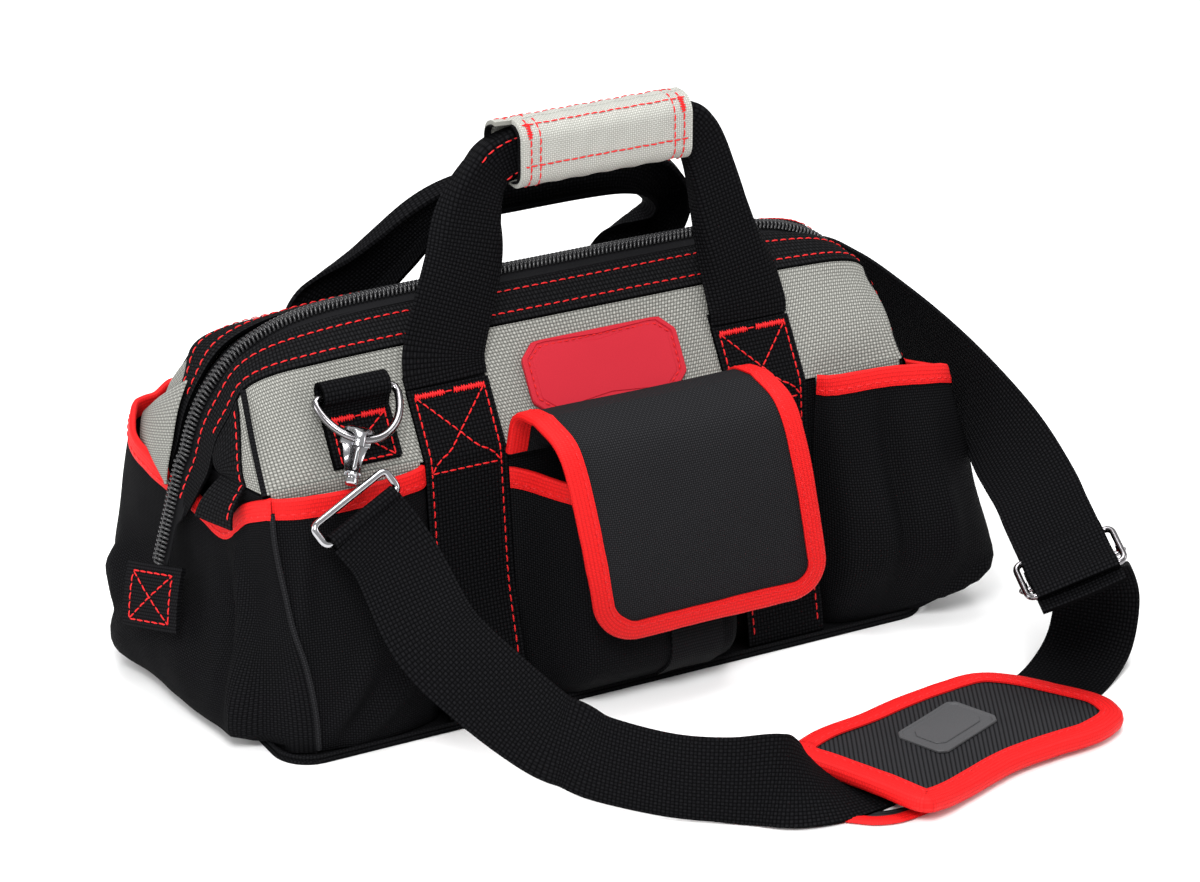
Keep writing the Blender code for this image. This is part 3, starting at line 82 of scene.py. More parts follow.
LEFT_WRAP = (
    WRAP[0],
    ((0.684, -1.180), (0.740, -1.450), (0.885, -1.550), (1.030, -1.500), (1.118, -1.180),
     (1.124, -0.780), (1.100, 0.000), (1.060, 0.620), (1.008, 1.130)),
    ((0.684, -1.105), (0.740, -1.320), (0.890, -1.380), (1.030, -1.330), (1.110, -1.100),
     (1.128, -0.650), (1.095, 0.000), (1.048, 0.600), (1.008, 1.090)),
    ((0.684, -1.032), (0.740, -1.158), (0.890, -1.172), (0.995, -1.165), (1.062, -1.058),
     (1.116, -0.620), (1.080, 0.000), (1.040, 0.500), (1.004, 1.010)),
)
WRAP_DROOP = (0.0, 0.0, 0.0, 0.15, 0.39, 0.68, 1.0, 0.68, 0.15)
LEFT_DROOP = (0.20, 0.45, 0.54, 0.66, 0.76, 0.93, 1.05, 0.55, 0.25)
FRONT_LEFT_LEG = (
    (1.00, 0.00, 0.000, 0.00, 0.00), (1.00, 0.12, 0.080, 0.00, 0.00), (0.96, 0.24, 0.160, 0.00, 0.06),
    (0.80, 0.47, 0.336, 0.00, 0.22), (0.60, 0.72, 0.540, 0.05, 0.26), (0.48, 0.87, 0.705, 0.35, 0.26),
    (0.385, 0.94, 0.822, 0.75, 0.34), (0.26, 0.98, 0.912, 1.00, 0.56), (0.10, 1.00, 0.970, 1.00, 0.84),
    (-0.30, 1.00, 1.000, 1.00, 1.00),
)
FRONT_RIGHT_LEG = (
    (1.00, 0.00, 0.000, 0.00, 0.00), (1.00, 0.12, 0.100, 0.02, 0.00), (0.95, 0.36, 0.260, 0.22, 0.08),
    (0.80, 0.66, 0.487, 0.65, 0.14), (0.64, 0.86, 0.697, 0.92, 0.22), (0.50, 0.94, 0.830, 1.00, 0.38),
    (0.32, 0.99, 0.926, 1.00, 0.60), (0.08, 1.00, 0.980, 1.00, 0.84), (-0.50, 1.00, 1.000, 1.00, 1.00),
)
BACK_LEFT_LEG = (
    (1.00, 0.00, 0.000, 0.00, 0.00), (1.00, 0.03, 0.070, 0.00, 0.00), (0.98, 0.08, 0.160, 0.05, 0.12),
    (0.89, 0.17, 0.280, 0.25, 0.34), (0.70, 0.40, 0.470, 0.60, 0.48), (0.52, 0.68, 0.680, 0.80, 0.50),
    (0.36, 0.88, 0.850, 0.95, 0.60), (0.16, 0.98, 0.955, 1.00, 0.82), (-0.08, 1.00, 1.000, 1.00, 1.00),
    (-0.34, 1.00, 1.000, 1.00, 1.00),
)
BACK_RIGHT_LEG = (
    (1.00, 0.00, 0.000, 0.00, 0.00), (1.00, 0.03, 0.070, 0.00, 0.00), (1.08, 0.08, 0.160, 0.08, -0.18),
    (1.27, 0.17, 0.270, 0.30, -0.30), (1.50, 0.38, 0.420, 0.65, -0.28), (1.60, 0.62, 0.590, 0.92, 0.00),
    (1.44, 0.82, 0.760, 1.00, 0.30), (1.02, 0.94, 0.905, 1.00, 0.60), (0.42, 1.00, 0.980, 1.00, 0.88),
    (-0.45, 1.00, 1.000, 1.00, 1.00),
)
FRONT_LEGS = ((LEFT_X, -0.0295, FRONT_LEFT_LEG), (RIGHT_X, 0.0775, FRONT_RIGHT_LEG))
BACK_LEGS = ((LEFT_X, -0.052, BACK_RIGHT_LEG), (RIGHT_X, 0.035, BACK_LEFT_LEG))
FRONT_RUN = (
    ((-0.722, -1.080, 0.791), (0.909, 0.187, 0.374)), ((-0.680, -1.370, 0.560), (0.820, 0.020, 0.570)),
    ((-0.590, -1.600, 0.400), (0.680, -0.120, 0.720)), ((-0.490, -1.850, 0.268), (0.480, -0.200, 0.850)),
)
GROUND_RUN = (
    ((-0.385, -2.110, 0.205), (0.260, -0.180, 0.950)), ((-0.255, -2.360, 0.180), (0.080, -0.080, 0.990)),
    ((-0.130, -2.530, 0.174), (0.000, 0.030, 1.000)), ((-0.020, -2.610, 0.163), (0.000, 0.300, 0.950)),
    ((0.080, -2.620, 0.118), (0.000, 0.720, 0.690)), ((0.185, -2.590, 0.055), (0.000, 0.960, 0.235)),
    ((0.300, -2.540, 0.019), (0.000, 1.000, 0.020)), ((0.460, -2.460, 0.0105), (0.000, 1.000, 0.000)),
    ((0.640, -2.390, 0.0105), (-0.100, 0.990, 0.000)), ((0.820, -2.300, 0.0105), (-0.300, 0.950, 0.000)),
    ((0.980, -2.180, 0.0105), (-0.480, 0.870, 0.000)), ((1.130, -2.030, 0.014), (-0.580, 0.810, 0.000)),
    ((1.250, -1.890, 0.080), (-0.640, 0.770, 0.000)), ((1.290, -1.830, 0.240), (-0.680, 0.730, -0.060)),
    ((1.235, -1.880, 0.370), (-0.780, 0.560, -0.260)), ((1.140, -2.060, 0.430), (-0.860, 0.320, -0.390)),
)
SLIDE_LOW, SLIDE_HIGH, SLIDE_ACROSS = (1.030, -2.410, 0.500), (1.145, -1.560, 0.690), (0.880, -0.060, 0.430)
SIDE_RUN = (
    ((1.205, -0.950, 0.790), (0.420, -0.020, 0.905)), ((1.238, -0.420, 0.860), (0.130, 0.000, 0.990)),
    ((1.240, 0.080, 0.915), (0.000, 0.000, 1.000)), ((1.225, 0.480, 0.945), (-0.020, 0.060, 0.995)),
    ((1.195, 0.840, 0.930), (0.040, 0.140, 0.980)), ((1.000, 1.038, 0.892), (0.350, 0.250, 0.900)),
)


def mix(a, b, share):
    return a + (b - a) * share


def smooth(value):
    value = min(max(value, 0.0), 1.0)
    return value * value * (3 - 2 * value)


def spline(points, share):
    last = len(points) - 1
    along = min(max(share, 0.0), 1.0) * last
    first = min(int(along), last - 1)
    t = along - first
    p1, p2 = points[first], points[first + 1]
    p0 = points[first - 1] if first > 0 else p1 * 2 - p2
    p3 = points[first + 2] if first + 2 <= last else p2 * 2 - p1
    return (p1 * 2 + (p2 - p0) * t + (p0 * 2 - p1 * 5 + p2 * 4 - p3) * t**2
            + (p1 * 3 - p0 - p2 * 3 + p3) * t**3) * 0.5


def turned(point):
    return Vector((-point[0], -point[1], point[2]))


def turned_place(place):
    return lambda u, v: turned(place(u, v))


def mirrored(point):
    return Vector((-point.x, point.y, point.z))


def sided(turn):
    """Half a turn for a point of the back, nothing for the front."""
    return turned if turn else (lambda point: point)


def sided_place(turn):
    return turned_place if turn else (lambda place: place)


def square_to(vector, axis):
    """The vector without its share along the axis, as a unit vector."""
    axis = axis.normalized()
    return (vector - axis * vector.dot(axis)).normalized()


def normal_at(place, u, v, step=0.006):
    du = place(min(u + step, 1), v) - place(max(u - step, 0), v)
    dv = place(u, min(v + step, 1)) - place(u, max(v - step, 0))
    return du.cross(dv).normalized()


def facing(place, direction):
    """The same surface with its normal on the direction's side."""
    if normal_at(place, 0.5, 0.5).dot(direction) > 0:
        return place
    return lambda u, v: place(1 - u, v)


def wrinkled(place, height, scale, seed=0.0, pinned=0.08):
    """The surface with soft folds, none along its sewn sides."""
    wide, tall = scale

    def moved(u, v):
        point = place(u, v)
        x, y, z = point
        hold = smooth(min(u, 1 - u) / pinned) * smooth(v / pinned)
        fold = noise.noise(Vector((x * wide + seed, y * wide, z * tall + seed)))
        fine = noise.noise(Vector((x * wide * 2.7, y * wide * 2.7 + seed, z * tall * 2.1)))
        return point + normal_at(place, u, v) * (height * hold * (fold + fine * 0.35))
    return moved


def creased(place, lines):
    """The surface with long pulled folds; each has its two ends, a width and a height."""
    def moved(u, v):
        push = 0.0
        for u0, v0, u1, v1, wide, height in lines:
            share = ((u - u0) * (u1 - u0) + (v - v0) * (v1 - v0)) / ((u1 - u0) ** 2 + (v1 - v0) ** 2)
            share = min(max(share, 0.06), 0.94)
            off = math.hypot(u - mix(u0, u1, share), v - mix(v0, v1, share))
            push += height * math.exp(-(off / wide) ** 2) * math.sin(math.pi * share)
        return place(u, v) + normal_at(place, u, v) * push
    return moved


# Materials

def finish(name, dark, light, roughness, pattern, pitch, depth, metallic=0.0, patches=0.12, rough_spread=0.08,
           specular=0.5):
    """A material whose colour goes from dark to light with the pattern's height, with soft uneven patches."""
    made = bpy.data.materials.new(name)
    made.use_nodes = True
    tree = made.node_tree
    shader = tree.nodes["Principled BSDF"]
    uv = tree.nodes.new("ShaderNodeUVMap")
    uv.uv_map = "UVMap"

    def calc(operation, *inputs):
        """A math node's result; sockets are linked, numbers are set on the node."""
        step = tree.nodes.new("ShaderNodeMath")
        step.operation = operation
        for i, value in enumerate(inputs):
            if isinstance(value, bpy.types.NodeSocket):
                tree.links.new(value, step.inputs[i])
            else:
                step.inputs[i].default_value = value
        return step.outputs[0]

    def wave(value):
        return calc("SINE", calc("MULTIPLY", value, math.pi))

    def cloudy(scale, detail):
        texture = tree.nodes.new("ShaderNodeTexNoise")
        texture.inputs["Scale"].default_value = scale
        texture.inputs["Detail"].default_value = detail
        tree.links.new(uv.outputs[0], texture.inputs["Vector"])
        return texture.outputs["Fac"]

    split = tree.nodes.new("ShaderNodeSeparateXYZ")
    tree.links.new(uv.outputs[0], split.inputs[0])
    u, v = (calc("DIVIDE", split.outputs[i], pitch[i]) for i in range(2))
    # For the weave, web and rib patterns the colour follows the bump's height: the darker gaps between threads are
    # partly the cloth's own look and partly painted shade, and the lighter thread tops are painted highlight.
    if pattern == "weave":
        product = calc("MULTIPLY", wave(u), wave(v))
        height = calc("POWER", calc("ABSOLUTE", product), 0.6)
        over = calc("GREATER_THAN", product, 0.0)
        tone = calc("MULTIPLY", height, calc("MULTIPLY_ADD", over, 0.30, 0.70))
    elif pattern == "web":
        cord = calc("POWER", calc("ABSOLUTE", wave(u)), 0.7)
        pick = calc("ABSOLUTE", wave(calc("MULTIPLY_ADD", calc("FLOOR", u), 0.5, v)))
        tone = height = calc("MULTIPLY", cord, calc("MULTIPLY_ADD", pick, 0.65, 0.35))
    elif pattern == "ribs":
        tone = height = calc("POWER", calc("ABSOLUTE", wave(u)), 0.6)
    else:
        tone = height = cloudy(1 / pitch[0], 3)
    cloud = cloudy(38.0, 4)
    ramp = tree.nodes.new("ShaderNodeMix")
    ramp.data_type = "RGBA"
    ramp.inputs[6].default_value = (*dark, 1)
    ramp.inputs[7].default_value = (*light, 1)
    bump = tree.nodes.new("ShaderNodeBump")
    bump.inputs["Strength"].default_value = 0.75
    bump.inputs["Distance"].default_value = depth
    shader.inputs["Metallic"].default_value = metallic
    shader.inputs["Specular IOR Level"].default_value = specular
    uneven = calc("MULTIPLY_ADD", cloud, patches * 2, 1 - patches)
    rough = calc("MULTIPLY_ADD", cloud, rough_spread * 2, roughness - rough_spread)
    for result, socket in ((calc("MULTIPLY", tone, uneven), ramp.inputs[0]),
                           (ramp.outputs[2], shader.inputs["Base Color"]), (rough, shader.inputs["Roughness"]),
                           (height, bump.inputs["Height"]), (bump.outputs[0], shader.inputs["Normal"])):
        tree.links.new(result, socket)
    made.diffuse_color = (*light, 1)
    return made


# On the black finishes (the cloths, webs, ribbed pad and zip tape) the specular is kept low, and the light end of the
# colour ramp is painted highlight on the raised threads and ribs.
FINISH = {
    "black_weave": finish("cloth_black", (0.0006, 0.0006, 0.0008), (0.0095, 0.0095, 0.0105), 0.76, "weave",
                          (0.0015, 0.0015), 0.0005, specular=0.02),
    "flap_weave": finish("cloth_flap", (0.0030, 0.0030, 0.0034), (0.0240, 0.0240, 0.0262), 0.70, "weave",
                         (0.0013, 0.0013), 0.0004, specular=0.03),
    "band_weave": finish("cloth_band", (0.0006, 0.0006, 0.0008), (0.0120, 0.0120, 0.0130), 0.74, "weave",
                         (0.0021, 0.0021), 0.0006, specular=0.02),
    "grey_weave": finish("cloth_grey", (0.20, 0.20, 0.18), (0.48, 0.48, 0.445), 0.64, "weave",
                         (0.0012, 0.0012), 0.0003, patches=0.07, specular=0.15),
    "panel_weave": finish("cloth_panel", (0.050, 0.050, 0.045), (0.37, 0.37, 0.340), 0.66, "weave",
                          (0.0017, 0.0017), 0.0005, patches=0.08, specular=0.12),
    "red_tape": finish("tape_red", (0.42, 0.003, 0.004), (0.74, 0.010, 0.010), 0.62, "weave",
                       (0.0011, 0.0022), 0.00022, patches=0.10, specular=0.15),
    "thread": finish("thread_red", (0.40, 0.004, 0.006), (0.74, 0.014, 0.016), 0.50, "grain", (0.001, 0.001),
                     0.00005, specular=0.2),
    "black_web": finish("web_black", (0.0006, 0.0006, 0.0008), (0.0090, 0.0090, 0.0100), 0.70, "web",
                        (0.0019, 0.0015), 0.0004, specular=0.03),
    "strap_web": finish("web_strap", (0.0004, 0.0004, 0.0006), (0.0085, 0.0085, 0.0095), 0.72, "weave",
                        (0.0022, 0.0021), 0.0008, specular=0.02),
    "zip_tape": finish("zip_tape", (0.002, 0.002, 0.0024), (0.008, 0.008, 0.009), 0.66, "ribs",
                       (0.0009, 0.0009), 0.00015, specular=0.06),
    "coil": finish("coil_black", (0.004, 0.004, 0.0045), (0.016, 0.016, 0.018), 0.26, "grain", (0.002, 0.002),
                   0.00004, specular=0.5),
    "rubber": finish("rubber_red", (0.36, 0.008, 0.018), (0.46, 0.012, 0.026), 0.50, "grain",
                     (0.0007, 0.0007), 0.00005, specular=0.2),
    "patch_grey": finish("patch_grey", (0.040, 0.040, 0.042), (0.070, 0.070, 0.074), 0.50, "grain",
                         (0.0007, 0.0007), 0.00005, specular=0.2),
    "pad_ribs": finish("pad_ribbed", (0.0010, 0.0010, 0.0012), (0.0230, 0.0230, 0.0250), 0.70, "ribs",
                       (0.0025, 0.0025), 0.0008, specular=0.03),
    "chrome": finish("chrome", (0.30, 0.30, 0.31), (0.46, 0.46, 0.48), 0.15, "grain", (0.004, 0.004), 0.00003,
                     metallic=1.0, rough_spread=0.05),
    "gunmetal": finish("gunmetal", (0.14, 0.135, 0.14), (0.26, 0.25, 0.26), 0.20, "grain", (0.003, 0.003),
                       0.00003, metallic=1.0, rough_spread=0.06),
    "steel": finish("steel", (0.40, 0.39, 0.39), (0.55, 0.54, 0.54), 0.26, "grain", (0.003, 0.003), 0.00004,
                    metallic=1.0, rough_spread=0.07),
    "board": finish("board", (0.03, 0.025, 0.02), (0.07, 0.06, 0.05), 0.85, "grain", (0.002, 0.002), 0.0002),
}


# Pieces

def seated(obj, finish_name, body, stands_for=(), blend=None):
    obj.data.materials.append(FINISH[finish_name])
    bpy.context.scene.collection.objects.link(obj)
    if blend:
        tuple(blend[1])
        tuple(blend[2])
        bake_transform(obj)
    else:
        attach(obj, body)
    if stands_for:
        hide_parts(*stands_for)
    return obj


def mesh_of(name, verts, faces, uvs=None, sharp=50):
    mesh = bpy.data.meshes.new(name)
    mesh.from_pydata([tuple(v) for v in verts], [], faces)
    mesh.update()
    layer = mesh.uv_layers.new(name="UVMap")
    index = np.empty(len(mesh.loops), dtype=np.int32)
    mesh.loops.foreach_get("vertex_index", index)
    if uvs is None:
        co = np.array([tuple(v) for v in verts], float)
        uvs = np.stack([co[:, 0] + co[:, 1] * 0.6, co[:, 2] + co[:, 1] * 0.4], axis=1)
    layer.data.foreach_set("uv", np.asarray(uvs, dtype=np.float32)[index].ravel())
    mesh.shade_smooth()
    mesh.set_sharp_from_angle(angle=math.radians(sharp))
    return bpy.data.objects.new(name, mesh)


def lengths(points):
    steps = np.linalg.norm(np.diff(points, axis=0), axis=-1)
    return np.concatenate([[0.0], np.cumsum(steps)])


def slab(name, place, nu, nv, thickness, finish_name, body, stands_for=(), blend=None, swap=False):
    """A thick sheet about its middle surface, with its texture laid out in metres."""
    grid = np.array([[place(i / nu, j / nv) for j in range(nv + 1)] for i in range(nu + 1)], float)
    du = np.gradient(grid, axis=0)
    dv = np.gradient(grid, axis=1)
    normals = np.cross(du, dv)
    normals /= np.maximum(np.linalg.norm(normals, axis=2, keepdims=True), 1e-12)
    along_u = np.mean([lengths(grid[:, j]) for j in range(nv + 1)], axis=0)
    along_v = np.mean([lengths(grid[i]) for i in range(nu + 1)], axis=0)
    uv = np.stack(np.meshgrid(along_u, along_v, indexing="ij"), axis=2)
    if swap:
        uv = uv[:, :, ::-1]
    count = (nu + 1) * (nv + 1)
    top = (grid + normals * (thickness / 2)).reshape(-1, 3)
    low = (grid - normals * (thickness / 2)).reshape(-1, 3)

    def at(i, j, side=0):
        return side * count + i * (nv + 1) + j
    faces = []
    for i in range(nu):
        for j in range(nv):
            faces.append((at(i, j), at(i + 1, j), at(i + 1, j + 1), at(i, j + 1)))
            faces.append((at(i, j, 1), at(i, j + 1, 1), at(i + 1, j + 1, 1), at(i + 1, j, 1)))
    for i in range(nu):
        faces.append((at(i, 0), at(i, 0, 1), at(i + 1, 0, 1), at(i + 1, 0)))
        faces.append((at(i, nv), at(i + 1, nv), at(i + 1, nv, 1), at(i, nv, 1)))
    for j in range(nv):
        faces.append((at(0, j), at(0, j + 1), at(0, j + 1, 1), at(0, j, 1)))
        faces.append((at(nu, j), at(nu, j, 1), at(nu, j + 1, 1), at(nu, j + 1)))
    flat = uv.reshape(-1, 2)
    obj = mesh_of(name, np.concatenate([top, low]), faces, np.concatenate([flat, flat]))
    return seated(obj, finish_name, body, stands_for, blend)


def loft_data(rings, closed=False, cap=True, start=0):
    """Verts, faces and metre texture for a tube through rings of as many points each."""
    rings = np.array(rings, float)
    rows, count = rings.shape[:2]
    verts = rings.reshape(-1, 3)
    along = lengths(rings.mean(axis=1))
    ring0 = np.concatenate([rings[0], rings[0][:1]])
    around = lengths(ring0)[:-1]
    uvs = np.array([(along[i], around[j]) for i in range(rows) for j in range(count)])
    faces = []
    for i in range(rows if closed else rows - 1):
        k = (i + 1) % rows
        for j in range(count):
            m = (j + 1) % count
            faces.append((start + i * count + j, start + i * count + m, start + k * count + m, start + k * count + j))
    if cap and not closed:
        faces.append(tuple(start + j for j in reversed(range(count))))
        faces.append(tuple(start + (rows - 1) * count + j for j in range(count)))
    return verts, faces, uvs


def frames_along(points, up, closed=False):
    """A sideways and an upward direction at each point, square to the path."""
    pts = [Vector(p) for p in points]
    count = len(pts)
    out = []
    for i, point in enumerate(pts):
        if closed:
            ahead = (pts[(i + 1) % count] - pts[i - 1]).normalized()
        else:
            ahead = (pts[min(i + 1, count - 1)] - pts[max(i - 1, 0)]).normalized()
        rise = Vector(up[i]) if isinstance(up, (list, np.ndarray)) else Vector(up)
        rise = square_to(rise, ahead)
        out.append((ahead.cross(rise), rise))
    return out


def tube_rings(points, radius, up=(0, 0, 1), sides=12, closed=False, flat=1.0):
    rings = []
    for i, (side, rise) in enumerate(frames_along(points, up, closed)):
        r = radius[i] if isinstance(radius, (list, tuple)) else radius
        rings.append([Vector(points[i]) + side * (math.cos(a) * r) + rise * (math.sin(a) * r * flat)
                      for a in (math.tau * k / sides for k in range(sides))])
    return rings


class Heap:
    """Many small closed shapes gathered into one mesh."""

    def __init__(self):
        self.verts, self.faces, self.uvs, self.count = [], [], [], 0

    def loft(self, rings, closed=False):
        verts, faces, uvs = loft_data(rings, closed=closed, start=self.count)
        self.verts.append(verts)
        self.faces += faces
        self.uvs.append(uvs)
        self.count += len(verts)

    def piece(self, name, finish_name, body, stands_for=(), blend=None, sharp=50):
        obj = mesh_of(name, np.concatenate(self.verts), self.faces, np.concatenate(self.uvs), sharp)
        return seated(obj, finish_name, body, stands_for, blend)


def tube(name, finish_name, body, points, radius, stands_for=(), sharp=50, closed=False, **shape):
    """One wire or cord as a piece of its own."""
    heap = Heap()
    heap.loft(tube_rings(points, radius, closed=closed, **shape), closed=closed)
    heap.piece(name, finish_name, body, stands_for, sharp=sharp)


def walk(points, step, ahead=0.0):
    """Evenly spaced places along a polyline, as shares of its indices."""
    pts = np.array([tuple(p) for p in points], float)
    reach = lengths(pts)
    places = np.clip(np.arange(step / 2, reach[-1], step) + ahead, 0, reach[-1])
    return [float(x) for x in np.interp(places, reach, np.arange(len(pts)))]


def at_index(points, place):
    i = min(int(place), len(points) - 2)
    return mix(Vector(points[i]), Vector(points[i + 1]), place - i)


def bead(heap, spots, across, up, flat):
    """A small rounded bar through the spots, each with its own radius."""
    heap.loft([[spot + across * (math.cos(a) * radius) + up * (math.sin(a) * radius * flat)
                for a in (math.tau * k / 6 for k in range(6))] for spot, radius in spots])


def sew(heap, points, normals, stitch=0.0042, gap=0.0016, radius=0.00048):
    """A row of stitches along a line that lies on cloth."""
    places, starts, ends = (walk(points, stitch + gap, ahead) for ahead in (0.0, -stitch / 2, stitch / 2))
    for n, place in enumerate(places):
        start, end = at_index(points, starts[n]), at_index(points, ends[n])
        up = at_index(normals, place).normalized()
        ahead = end - start
        if ahead.length < 1e-6:
            continue
        side = ahead.cross(up).normalized()
        wobble = side * (math.sin(n * 12.9898) * radius * 0.25)
        bead(heap, [(mix(start, end, share) + up * (radius * (rise + 0.3)) + wobble * (1 if share > 0.5 else -1),
                     radius * size)
                    for share, size, rise in ((0.0, 0.35, -0.5), (0.14, 0.85, 0.1), (0.5, 1.0, 0.45),
                                              (0.86, 0.85, 0.1), (1.0, 0.35, -0.5))], side, up, 0.8)


def bartack(heap, points, normals, width=0.0032, pitch=0.00075, radius=0.00046):
    """A dense bar of stitches across a line."""
    for n, place in enumerate(walk(points, pitch)):
        middle = at_index(points, place)
        up = at_index(normals, place).normalized()
        i = min(int(place), len(points) - 2)
        ahead = (Vector(points[i + 1]) - Vector(points[i])).normalized()
        side = ahead.cross(up).normalized()
        half = width / 2 * (1 + 0.16 * math.sin(n * 7.31))
        lean = ahead * (pitch * 0.5 * (1 if n % 2 else -1))
        bead(heap, [(middle + side * (half * share) + lean * share + up * (radius * (rise + 0.5)), radius * size)
                    for share, size, rise in ((-1.0, 0.5, -0.3), (-0.5, 1.0, 0.7), (0.5, 1.0, 0.7),
                                              (1.0, 0.5, -0.3))], ahead, up, 1.0)


def line_on(place, start, end, rise, steps=24):
    """A straight line in a surface's own shares, lifted off it, with its normals."""
    points, normals = [], []
    for i in range(steps + 1):
        u, v = mix(start[0], end[0], i / steps), mix(start[1], end[1], i / steps)
        up = normal_at(place, u, v) * math.copysign(1, rise)
        points.append(place(u, v) + up * abs(rise))
        normals.append(up)
    return points, normals


def cross_box(heap, place, low, high, rise, tack=True):
    """A sewn box with a cross between two corners given in a surface's shares, and a bar on its top edge."""
    (u0, v0), (u1, v1) = low, high
    for start, end in (((u0, v0), (u1, v0)), ((u0, v0), (u0, v1)), ((u1, v0), (u1, v1)),
                       ((u0, v0), (u1, v1)), ((u0, v1), (u1, v0))):
        sew(heap, *line_on(place, start, end, rise), gap=0.0009)
    if tack:
        bartack(heap, *line_on(place, (u0, v1), (mix(u0, u1, 0.42), v1), rise))
        bartack(heap, *line_on(place, (mix(u0, u1, 0.56), v1), (u1, v1), rise))
        sew(heap, *line_on(place, (mix(u0, u1, 0.42), v1), (mix(u0, u1, 0.56), v1), rise))


def edge_tape(name, edge, outward, normals, width, body, stands_for=(), blend=None, core=POCKET, closed=False):
    """Binding folded over a cloth edge of the core's thickness; gives the line of the seam that holds it."""
    rings, sew_points, wobble, half = [], [], 0.00025, core / 2
    r = half + BIND
    for i, (p, o, n) in enumerate(zip(edge, outward, normals)):
        o, n = o.normalized(), n.normalized()
        wave = noise.noise(Vector((i * 0.31, len(name), 0.5))) * wobble
        reach, back = width + wave * 2, width + wave
        profile = [(-reach, half + 0.0001), (-reach, r), (-reach * 0.75, r + wobble), (-reach * 0.4, r * 1.04),
                   (-0.0006, r), (r * 0.45, r * 0.72), (r * 0.62, 0.0), (r * 0.45, -r * 0.72), (-0.0006, -r),
                   (-back * 0.6, -r), (-back, -r), (-back, -half - 0.0001), (-back * 0.5, -half - 0.0001),
                   (0.0, -half), (0.0, half), (-reach * 0.5, half + 0.0001)]
        rings.append([p + o * (x + wave) + n * y for x, y in profile])
        sew_points.append(p + o * (-reach * 0.72) + n * (r + 0.0001))
    verts, faces, uvs = loft_data(rings, closed=closed)
    seated(mesh_of(name, verts, faces, uvs, sharp=60), "red_tape", body, stands_for, blend)
    if closed:
        return sew_points + sew_points[:1], normals + normals[:1]
    return sew_points, normals


def pocket_edge(place, count):
    tops = [place(i / count, 1.0) for i in range(count + 1)]
    outward = [(top - place(i / count, 0.97)).normalized() for i, top in enumerate(tops)]
    return tops, outward, [normal_at(place, i / count, 0.99) for i in range(count + 1)]


# Surfaces of the body

def wall_y(z):
    return -mix(WALL, FOLD, z / FOLD_Z)


def end_x(y, z):
    across = 1 - min(abs(y) / -wall_y(z), 1) ** 2
    return -(L + 0.0104 * across * (z / FOLD_Z) ** 6)


WALL_FOOT, WALL_TOP = 0.0033, FOLD_Z - 0.0003
WEB_REACH = WEB_W / 2 + 0.0016
DOUBLE_END = RIGHT_X - WEB_REACH


def front_wall(u, v):
    z = mix(WALL_FOOT, WALL_TOP, v)
    return Vector((mix(-L, L, u), wall_y(z) + PANEL / 2, z))


def left_end_wall(u, v):
    z = mix(WALL_FOOT, WALL_TOP, v)
    reach = -wall_y(z) - PANEL - GAP * 2
    y = mix(reach, -reach, u)
    return Vector((end_x(y, z) + PANEL / 2, y, z))


def pouch(x0, x1, top, depth_at, side_at):
    """A pocket's face: its depth by height times its share along the pocket."""
    def place(u, v):
        z = mix(POCKET_FOOT, top, v)
        return Vector((mix(x0, x1, u), wall_y(z) - GAP - POCKET / 2 - depth_at(v) * side_at(u), z))
    return place


def three_way(foot, belly, mouth, belly_at):
    def depth(v):
        if v < belly_at:
            return mix(foot, belly, math.sin(v / belly_at * math.pi / 2))
        return mix(belly, mouth, smooth((v - belly_at) / (1 - belly_at)))
    return depth


def hump(share, power):
    return math.sin(math.pi * min(max(share, 0), 1)) ** power


flat_pocket = pouch(POCKET_START, LEFT_X - WEB_REACH, 0.149, three_way(0.0125, 0.019, 0.010, 0.3),
                    lambda u: hump(u, 0.55))
box_pocket = pouch(LEFT_X + WEB_REACH, DOUBLE_END, 0.137, three_way(0.0135, 0.044, 0.044, 0.22),
                   lambda u: smooth(min(u, 1 - u) / 0.2) ** 0.8)


def double_side(u):
    """The double pocket bulges on either side of the web that divides it."""
    x, reach = mix(POCKET_START, DOUBLE_END, u), WEB_REACH + 0.013
    if abs(x - LEFT_X) < reach:
        return 0.0
    if x < LEFT_X:
        return hump((x - POCKET_START) / (LEFT_X - reach - POCKET_START), 0.7)
    return hump((x - LEFT_X - reach) / (DOUBLE_END - LEFT_X - reach), 0.7)


def double_pocket(u, v):
    mouth = 0.0055 if mix(POCKET_START, DOUBLE_END, u) < LEFT_X else 0.0115
    return pouch(POCKET_START, DOUBLE_END, 0.1466, three_way(0.0125, 0.019, mouth, 0.3), double_side)(u, v)


def level_of(v):
    """Height by share of a wrap pocket's four rows."""
    return spline((0.0, 0.32, 0.68, 1.0), v)


def plan_of(table, u, v):
    return spline([spline([Vector((x * L, y * FOLD)) for x, y in row], u) for row in table], v)


def wrap_pocket(u, v):
    plan = plan_of(WRAP, u, v + 0.11 * math.sin(math.pi * min(v / 0.62, 1.0)) * smooth((u - 0.30) / 0.15)
                   * smooth((0.95 - u) / 0.15))
    push = math.exp(-((u - 0.44) / 0.13) ** 2) * smooth(u / 0.2) * mix(0.014, 0.004, smooth((v - 0.15) / 0.85))
    push *= 0.45 + 0.55 * smooth(v / 0.06)
    top = mix(WRAP_TOP, WRAP_DIP, spline(WRAP_DROOP, u))
    return Vector((plan.x + push * 0.93, plan.y - push * 0.36, mix(POCKET_FOOT, top, level_of(v))))


